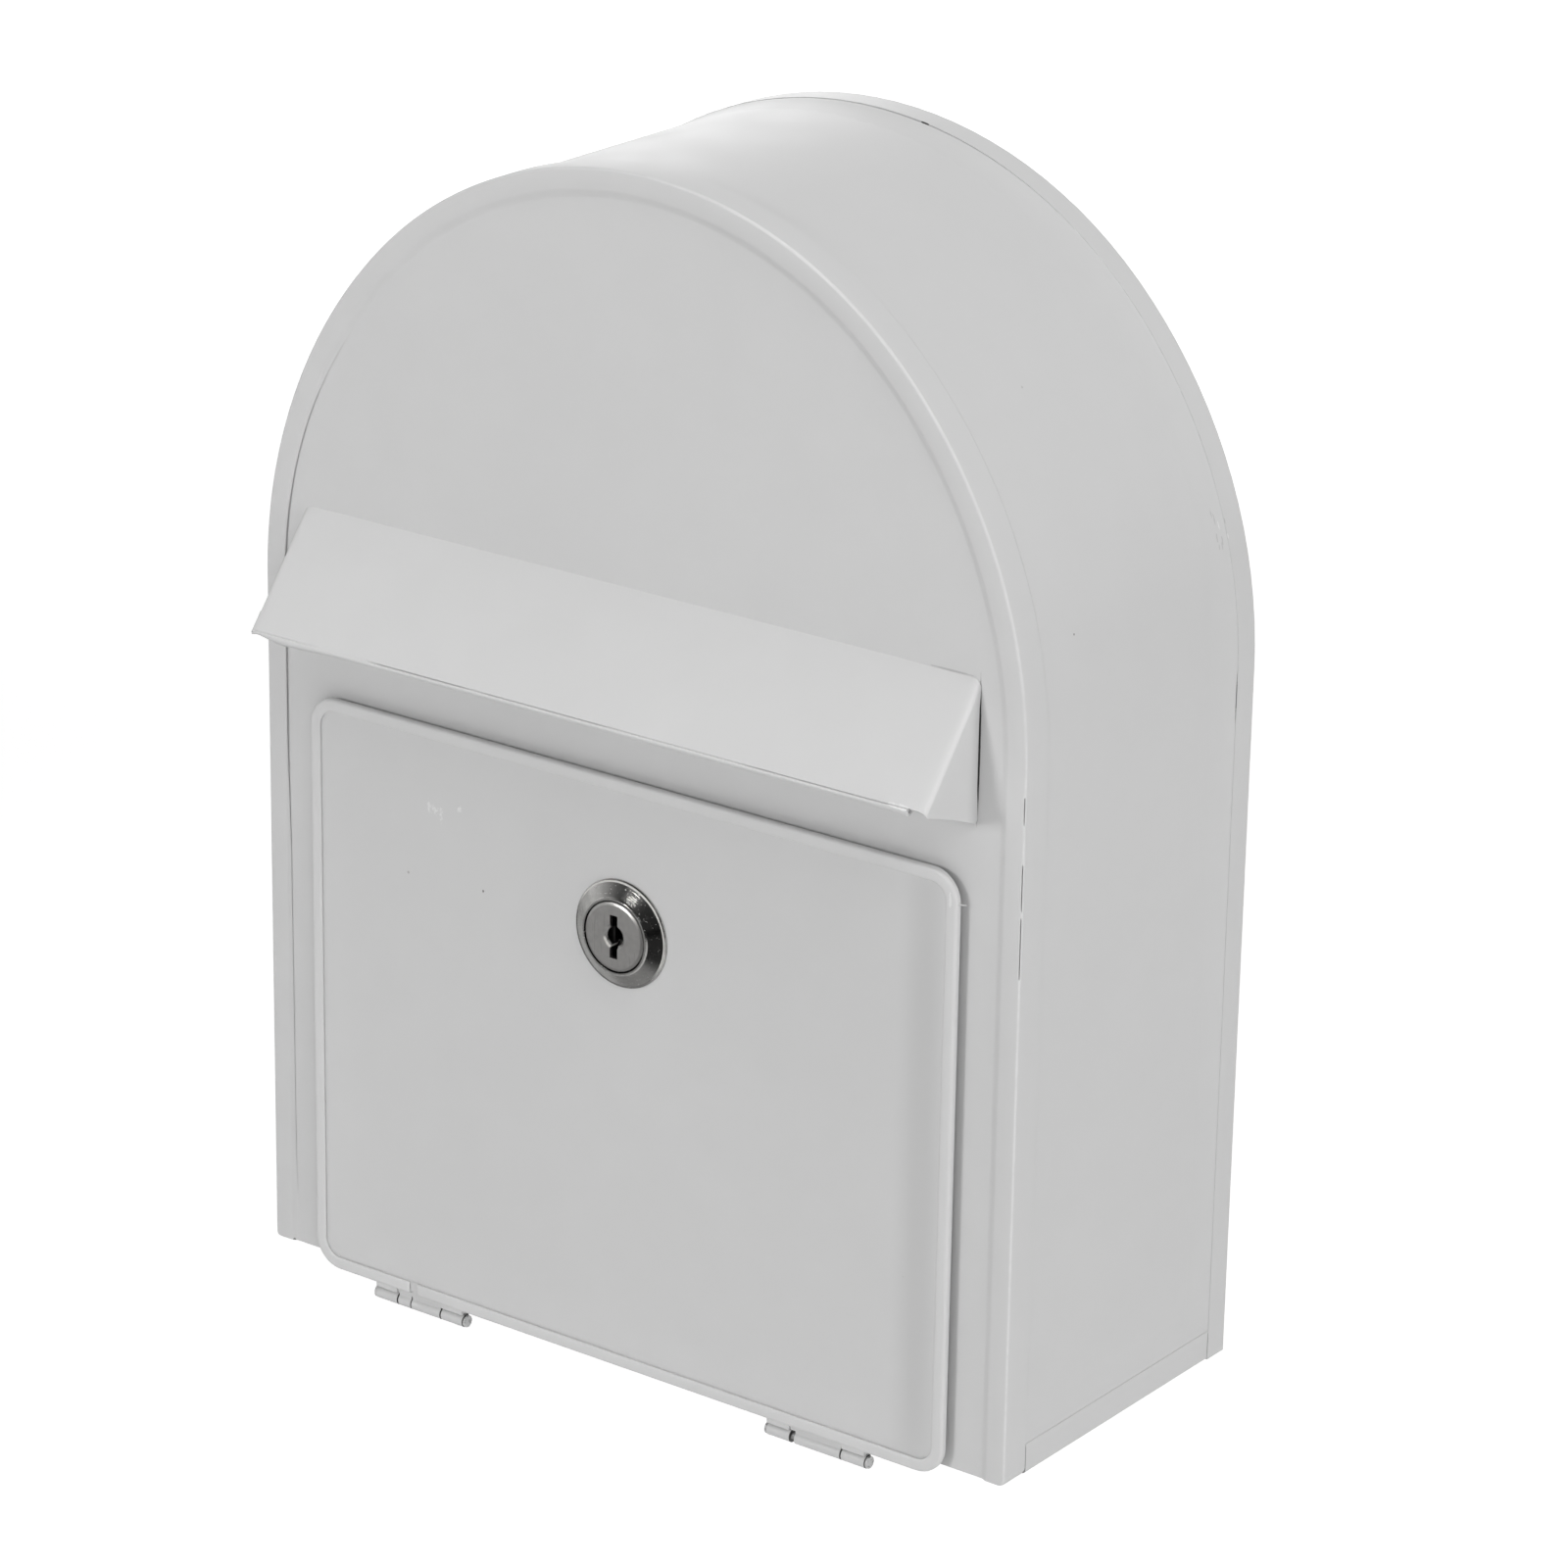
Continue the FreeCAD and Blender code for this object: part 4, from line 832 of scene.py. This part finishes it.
def back_seam_section(outer):
    """Flush paint in the back seam, with a fine gap over the arch and a split low on the right."""
    gap = follow(BACK_TOP_GAP, outer.x / MM) * MM if outer.z > spring_z else 0.0
    if outer.x > RIGHT_LEG:
        gap = BACK_SIDE_GAP * stretch(outer.z, *BACK_SIDE_SPLIT, SPLIT_TAPER)
    return seam_section(back_low.y, -1, gap, FLUSH_SPREAD)


def make_seam_paint(name, section_at):
    """Seam paint round the arch, above the tabs of the bottom plate."""
    run = [station for station in arch_stations() if station[0].z > TAB_TOP - SHEET / 2]
    mesh = bmesh.new()
    sweep(mesh, run, section_at)
    make_piece(mesh, name, seam_paint, "box")


def make_tab_paint():
    """Paint in the corner above the turned-up tabs on both sides."""
    mesh = bmesh.new()
    section = seam_section(TAB_TOP, 1, spread=TAB_SPREAD)
    for side in (-1, 1):
        ends = []
        for depth in (frame_high.y, back_low.y):
            points = [(side * (half_width - inset), depth, up) for inset, up in section]
            ends.append([mesh.verts.new(point) for point in points])
        bridge(mesh, *ends)
        for end in ends:
            mesh.faces.new(end)
    make_piece(mesh, "tab_seam_paint", seam_paint, "box")


# Door: a dished sheet in a rounded edge strip whose ends meet at the bottom
def door_stations(inset, corner, jointed=False):
    """Points and normals round the door, from the middle of its bottom or from the strip's joint."""
    low = door_low + Vector((inset, 0, inset))
    high = door_high - Vector((inset, 0, inset))
    end_x, start_x = JOINT_X if jointed else (0.0, 0.0)
    stations = []

    def side(start, end, normal, steps, extra=()):
        for share in sorted({k / steps for k in range(steps)} | set(extra)):
            stations.append((start.lerp(end, share), normal, 0.0))

    def turn(centre, start):
        for k in range(DOOR_CORNER_STEPS):
            angle = math.radians(start + 90 * k / DOOR_CORNER_STEPS)
            normal = Vector((math.cos(angle), 0, math.sin(angle)))
            stations.append((centre + normal * corner, normal, 0.0))

    left, right, bottom, top = low.x + corner, high.x - corner, low.z + corner, high.z - corner
    down, east, up, west = Vector((0, 0, -1)), Vector((1, 0, 0)), Vector((0, 0, 1)), Vector((-1, 0, 0))
    first_ends = [step / (right - start_x) for step in JOINT_ROUNDING] if jointed else ()
    last_ends = [1 - step / (end_x - left) for step in JOINT_ROUNDING] if jointed else ()
    side(Vector((start_x, 0, low.z)), Vector((right, 0, low.z)), down, DOOR_BOTTOM_STEPS, first_ends)
    turn(Vector((right, 0, bottom)), -90)
    side(Vector((high.x, 0, bottom)), Vector((high.x, 0, top)), east, DOOR_SIDE_STEPS)
    turn(Vector((right, 0, top)), 0)
    side(Vector((right, 0, high.z)), Vector((left, 0, high.z)), up, DOOR_TOP_STEPS)
    turn(Vector((left, 0, top)), 90)
    side(Vector((low.x, 0, top)), Vector((low.x, 0, bottom)), west, DOOR_SIDE_STEPS)
    turn(Vector((left, 0, bottom)), 180)
    side(Vector((left, 0, low.z)), Vector((end_x, 0, low.z)), down, DOOR_BOTTOM_STEPS, last_ends)
    return stations


def strip_section(outer):
    """Crowned section of the door's edge strip, drooping a little at its butted ends."""
    back, field = door_high.y, sheet_low.y
    from_joint = min(abs(outer.x - end) for end in JOINT_X) if outer.z < door_low.z + SHEET else 1.0
    droop = JOINT_DROOP * max(1 - from_joint / JOINT_ROUNDING[-1], 0.0) ** 2
    front = door_low.y + droop
    return rounded_profile([
        (0, front, STRIP_BEND),
        (STRIP_FACE, front + STRIP_CROWN, STRIP_INNER_BEND),
        (STRIP_FACE, field, 0),
        (SHEET, field, 0),
        (SHEET, back, 0),
        (0, back, 0),
    ])


def make_door_strip():
    mesh = bmesh.new()
    sweep(mesh, door_stations(0, DOOR_CORNER, jointed=True), strip_section)
    make_piece(mesh, "door_edge_strip", lit_strip_paint, "door", "door_frame")


def make_door_sheet():
    """Door sheet that rises to the strip, with a groove that paint fills on the right and at the top."""
    front, back = sheet_low.y, sheet_high.y
    rows = [(sheet_low.x - door_low.x, 0.0, 0.0)]
    for (inset, sink), (_, filled) in zip(OPEN_GROOVE, FILLED_GROOVE):
        rows.append((inset * MM, sink * MM, filled * MM))
    for k in range(DISH_STEPS + 1):
        share = k / DISH_STEPS
        sink = -DISH_RISE * (1 - smooth_step(share))
        rows.append((DISH_START + DISH_WIDTH * share, sink, sink))
    mesh = bmesh.new()
    rings = []
    for inset, sink, filled in rows:
        ring = []
        for place, normal, _ in door_stations(inset, max(DOOR_CORNER - inset, DISH_CORNER)):
            fill = smooth_step(min(max(0.5 + normal.x + normal.z, 0.0), 1.0))
            ring.append(mesh.verts.new((place.x, front + sink + (filled - sink) * fill, place.z)))
        rings.append(ring)
    for first, second in zip(rings, rings[1:]):
        bridge(mesh, first, second)
    hole_steps = 48
    hole = []
    for k in range(hole_steps):
        angle = 2 * math.pi * k / hole_steps
        hole.append(mesh.verts.new((lock_axis.x + LOCK_HOLE * math.cos(angle), front,
                                    lock_axis.z + LOCK_HOLE * math.sin(angle))))
    edges = []
    for loop in (rings[-1], hole):
        for i in range(len(loop)):
            pair = (loop[i], loop[(i + 1) % len(loop)])
            edges.append(mesh.edges.get(pair) or mesh.edges.new(pair))
    bmesh.ops.triangle_fill(mesh, use_beauty=True, use_dissolve=False, edges=edges, normal=(0, -1, 0))
    bmesh.ops.recalc_face_normals(mesh, faces=mesh.faces)
    walls = bmesh.ops.extrude_face_region(mesh, geom=mesh.faces[:])
    for vertex in [item for item in walls["geom"] if isinstance(item, bmesh.types.BMVert)]:
        vertex.co.y = back
    make_piece(mesh, "door_sheet", door_paint, "door", "door_panel")


def make_paint_thread():
    """A thread of paint that stands out from the upper right of the door's edge strip."""
    mesh = bmesh.new()
    places = [Vector(place) * MM for place in THREAD_PATH]
    turns = [2 * math.pi * i / THREAD_SIDES for i in range(THREAD_SIDES)]
    rings = []
    for k, place in enumerate(places):
        radius = THREAD_RADIUS * (1 - THREAD_TAPER * k / (len(places) - 1))
        points = [place + Vector((0, math.cos(turn), math.sin(turn))) * radius for turn in turns]
        rings.append([mesh.verts.new(point) for point in points])
    for first, second in zip(rings, rings[1:]):
        bridge(mesh, first, second)
    mesh.faces.new(rings[0])
    mesh.faces.new(rings[-1])
    make_piece(mesh, "paint_thread", lit_strip_paint, "door", sharp_degrees=80)


def make_hinge_lips():
    """Painted lips under the door's edge that close the view above the end knuckles."""
    mesh = bmesh.new()
    profile = rounded_profile([
        (HINGE_LIP_FRONT, HINGE_LIP_LOW, HINGE_LIP_BEND),
        (HINGE_LIP_FRONT, HINGE_LIP_HIGH, 0),
        (HINGE_LIP_BACK, HINGE_LIP_HIGH, 0),
        (HINGE_LIP_BACK, HINGE_LIP_LOW, 0),
    ])
    for span in KNUCKLE_SPANS:
        first, second = [[mesh.verts.new((x * MM, y, z)) for y, z in profile] for x in span]
        bridge(mesh, first, second)
        mesh.faces.new(first)
        mesh.faces.new(second)
    make_piece(mesh, "hinge_lip_paint", lit_strip_paint, "door")


# Rain visor: one bent sheet with two cheeks and a hem curled under its lip
def bend_points(width, steps=16):
    """Points (across, deep) of a bend that starts gently and ends tightly."""
    across = deep = 0.0
    points = []
    for k in range(steps):
        angle = math.radians(90) * ((k + 0.5) / steps) ** BEND_TIGHTENING
        across += math.cos(angle)
        deep += math.sin(angle)
        points.append((across, deep))
    return [(a * width / across, d * width / across) for a, d in points]


def make_visor():
    half = visor_high.x
    top = Vector((0, panel_face, visor_high.z))
    lip = Vector((0, visor_low.y, visor_high.z - VISOR_SLOPE_HEIGHT))
    foot = Vector((0, panel_face, visor_low.z))
    along = (top - lip).normalized()
    lip += along * HEM_SETBACK
    inward = Vector((0, along.z, -along.y))
    slant = foot - lip
    bottom_rise = slant.dot(along) / slant.dot(inward)
    deepest = (top - lip).cross(slant).length / (top - lip).length

    def skin_point(x, deep, rise):
        return Vector((x, 0, 0)) + lip + along * rise + inward * deep

    def top_rise(x, deep):
        gap = VISOR_CHEEK_GAP * follow(CHEEK_GAP_SHAPE, deep / deepest)
        gap += VISOR_TOP_GAP * stretch(x, half - VISOR_TOP_GAP_LENGTH, half, VISOR_TOP_GAP_LENGTH)
        return (panel_face - gap - lip.y - inward.y * deep) / along.y

    def lip_lump(x, rise):
        """Outward swelling of the lip where the hem ends on the right."""
        across = (x - hem_half + VISOR_LUMP_WIDTH / 2) / VISOR_LUMP_WIDTH
        return VISOR_LUMP * math.exp(-across ** 2 - (rise / VISOR_LUMP_HEIGHT) ** 2)

    flat_steps = 80
    cheek_steps = 8
    hem_half = half - HEM_END
    flat = [(hem_half * (2 * k / flat_steps - 1), 0.0) for k in range(flat_steps + 1)]
    right = [(half - VISOR_BEND + across, deep) for across, deep in bend_points(VISOR_BEND)]
    bend_depth = right[-1][1]
    for k in range(1, cheek_steps + 1):
        right.append((half, bend_depth + (deepest - bend_depth) * CHEEK_END * k / cheek_steps))
    left = [(-x - VISOR_LEFT_FLARE, deep) for x, deep in reversed(right)]
    section = left + flat + right
    mesh = bmesh.new()
    columns = []
    low_edges = []
    for x, deep in section:
        hollow = CHEEK_HOLLOW * math.sin(math.pi * deep / deepest)
        dropped = HEM_SETBACK * min(deep / bend_depth, 1.0)
        low, high = bottom_rise * deep + hollow - dropped, top_rise(x, deep)
        column = []
        for share in RISE_SHARES:
            rise = low + (high - low) * share
            column.append(mesh.verts.new(skin_point(x, deep - lip_lump(x, rise), rise)))
        columns.append(column)
        low_edges.append(low)
    for first, second in zip(columns, columns[1:]):
        for k in range(len(RISE_SHARES) - 1):
            mesh.faces.new((first[k], second[k], second[k + 1], first[k + 1]))
    curl_steps = 8
    hem_columns = []
    for i in range(len(left) - HEM_BEND_COLUMNS, len(left) + len(flat)):
        x, bend_start = section[i]
        radius = HEM_RADIUS + HEM_OPENING * math.exp(-((x - hem_half) / HEM_OPENING_WIDTH) ** 2)
        radius += follow(HEM_LEFT_SHAPE, x / MM) * MM
        column = [columns[i][0]]
        crease = follow(CREASE_DEPTHS, x / MM) * MM
        path = [(deep * crease, rise * MM) for deep, rise in HEM_CREASE]
        for k in range(1, curl_steps + 1):
            angle = math.pi * k / curl_steps
            path.append((radius * (1 - math.cos(angle)), HEM_CURL_START - radius * math.sin(angle)))
        path.append((radius * 2, HEM_TAIL))
        for deep, rise in path:
            inside = bend_start + deep - lip_lump(x, rise)
            column.append(mesh.verts.new(skin_point(x, inside, low_edges[i] + rise)))
        hem_columns.append(column)
    for first, second in zip(hem_columns, hem_columns[1:]):
        for k in range(len(first) - 1):
            mesh.faces.new((first[k + 1], second[k + 1], second[k], first[k]))
    make_piece(mesh, "rain_visor_sheet", visor_paint, "box", "rain_visor", sharp_degrees=40,
               thickness=SHEET)


make_front_frame()
make_seam_paint("back_seam_paint", back_seam_section)
make_seam_paint("front_seam_paint", front_seam_section)
make_tab_paint()
make_door_strip()
make_door_sheet()
make_paint_thread()
make_hinge_lips()
make_visor()


# Studio: a white floor well below the hanging box, a white surround and soft lamps
def make_floor():
    data = bpy.data.meshes.new("studio_floor")
    level = cad_low.z - FLOOR_DROP
    corners = [(-FLOOR_REACH, -FLOOR_REACH), (FLOOR_REACH, -FLOOR_REACH),
               (FLOOR_REACH, FLOOR_REACH), (-FLOOR_REACH, FLOOR_REACH)]
    data.from_pydata([(x, y, level) for x, y in corners], [], [(0, 1, 2, 3)])
    material = bpy.data.materials.new("studio_floor")
    material.use_nodes = True
    tree = material.node_tree
    tree.nodes.clear()
    ray = tree.nodes.new("ShaderNodeLightPath").outputs
    mirrored = calculate(tree, "MAXIMUM", ray["Is Glossy Ray"], ray["Is Transmission Ray"])
    place = object_place(tree)
    across = add(tree, "ShaderNodeSeparateXYZ", Vector=place).outputs
    to_left = fade(tree, across["X"], FLOOR_LEFT_SPAN, 1.0, 0.0)
    slanted = calculate(tree, "MULTIPLY_ADD", across["X"], FLOOR_BEHIND_SLANT, across["Y"])
    behind = fade(tree, slanted, FLOOR_BEHIND_SPAN, 0.0, 1.0)
    before = mix_colours(tree, to_left, FLOOR_RIGHT_IN_METAL, FLOOR_LEFT_IN_METAL)
    in_metal = mix_colours(tree, behind, before, FLOOR_COLOUR)
    distance = vector_math(tree, "LENGTH", place)
    white = fade(tree, distance, FLOOR_SPAN, FLOOR_NEAR_GLOW, FLOOR_FAR_GLOW)
    far = fade(tree, distance, FLOOR_SPAN, 0.0, FAR_GLOW_IN_METAL)
    far_in_metal = calculate(tree, "MAXIMUM", calculate(tree, "MULTIPLY", far, to_left),
                             calculate(tree, "MULTIPLY", behind, BACK_GLOW_IN_METAL))
    strength = calculate(tree, "ADD", calculate(tree, "MULTIPLY", ray["Is Camera Ray"], white),
                         calculate(tree, "MULTIPLY", mirrored, far_in_metal))
    matt = add(tree, "ShaderNodeBsdfDiffuse", Color=mix_colours(tree, mirrored, FLOOR_COLOUR, in_metal))
    glow = add(tree, "ShaderNodeEmission", Color=(1, 1, 1, 1), Strength=strength)
    lit = add(tree, "ShaderNodeAddShader")
    tree.links.new(matt.outputs[0], lit.inputs[0])
    tree.links.new(glow.outputs[0], lit.inputs[1])
    clear = tree.nodes.new("ShaderNodeBsdfTransparent")
    facing = tree.nodes.new("ShaderNodeNewGeometry").outputs["Backfacing"]
    sides = tree.nodes.new("ShaderNodeMixShader")
    tree.links.new(facing, sides.inputs[0])
    tree.links.new(lit.outputs[0], sides.inputs[1])
    tree.links.new(clear.outputs[0], sides.inputs[2])
    out = tree.nodes.new("ShaderNodeOutputMaterial")
    tree.links.new(sides.outputs[0], out.inputs["Surface"])
    data.materials.append(material)
    floor = bpy.data.objects.new("studio_floor", data)
    bpy.context.scene.collection.objects.link(floor)


def make_surround():
    """White for the camera, a soft even light for paint, and a dim room behind the camera for metal."""
    world = bpy.data.worlds.new("studio_surround")
    bpy.context.scene.world = world
    world.use_nodes = True
    tree = world.node_tree
    tree.nodes.clear()
    ray = tree.nodes.new("ShaderNodeLightPath").outputs
    direction = tree.nodes.new("ShaderNodeTexCoord").outputs["Generated"]
    to_camera = (CAMERA_PLACE - CAMERA_AIM).normalized()
    facing = vector_math(tree, "DOT_PRODUCT", direction, to_camera)
    room = calculate(tree, "MULTIPLY",
                     fade(tree, facing, ROOM_SPAN, ROOM_BEHIND_BOX, ROOM_BEHIND_CAMERA),
                     fade(tree, facing, ROOM_BACK_SPAN, ROOM_BACK_SHARE, 1.0))
    light = tree.nodes.new("ShaderNodeMix")
    feed(tree, light.inputs[0], ray["Is Glossy Ray"])
    feed(tree, light.inputs[2], WORLD_LIGHT)
    feed(tree, light.inputs[3], room)
    seen = calculate(tree, "MAXIMUM", ray["Is Camera Ray"], ray["Is Transmission Ray"])
    strength = calculate(tree, "MAXIMUM", seen, light.outputs[0])
    surround = add(tree, "ShaderNodeBackground", Color=(1, 1, 1, 1), Strength=strength)
    out = tree.nodes.new("ShaderNodeOutputWorld")
    tree.links.new(surround.outputs[0], out.inputs["Surface"])


def make_lamp(name, azimuth, elevation, size, watts, seen_in_metal):
    """Square lamp at an azimuth from the front, to the right, and an elevation, both in degrees."""
    turn, lift = math.radians(azimuth), math.radians(elevation)
    outward = Vector((math.sin(turn) * math.cos(lift), -math.cos(turn) * math.cos(lift), math.sin(lift)))
    data = bpy.data.lights.new(name, "AREA")
    data.shape = "SQUARE"
    data.size = size
    data.energy = watts
    lamp = bpy.data.objects.new(name, data)
    lamp.location = LAMP_AIM + outward * LAMP_DISTANCE
    lamp.rotation_mode = "QUATERNION"
    lamp.rotation_quaternion = (-outward).to_track_quat("-Z", "Y")
    lamp.visible_glossy = seen_in_metal
    bpy.context.scene.collection.objects.link(lamp)


def make_camera():
    data = bpy.data.cameras.new("photo_camera")
    data.lens = CAMERA_LENS
    data.sensor_width = 36.0
    camera = bpy.data.objects.new("photo_camera", data)
    forward = (CAMERA_AIM - CAMERA_PLACE).normalized()
    level = forward.to_track_quat("-Z", "Y")
    camera.rotation_mode = "QUATERNION"
    camera.rotation_quaternion = Quaternion(forward, CAMERA_ROLL) @ level
    camera.location = CAMERA_PLACE
    bpy.context.scene.collection.objects.link(camera)
    bpy.context.scene.camera = camera


make_floor()
make_surround()
for lamp in LAMPS:
    make_lamp(*lamp)
make_camera()
bpy.context.scene.view_settings.view_transform = "Standard"
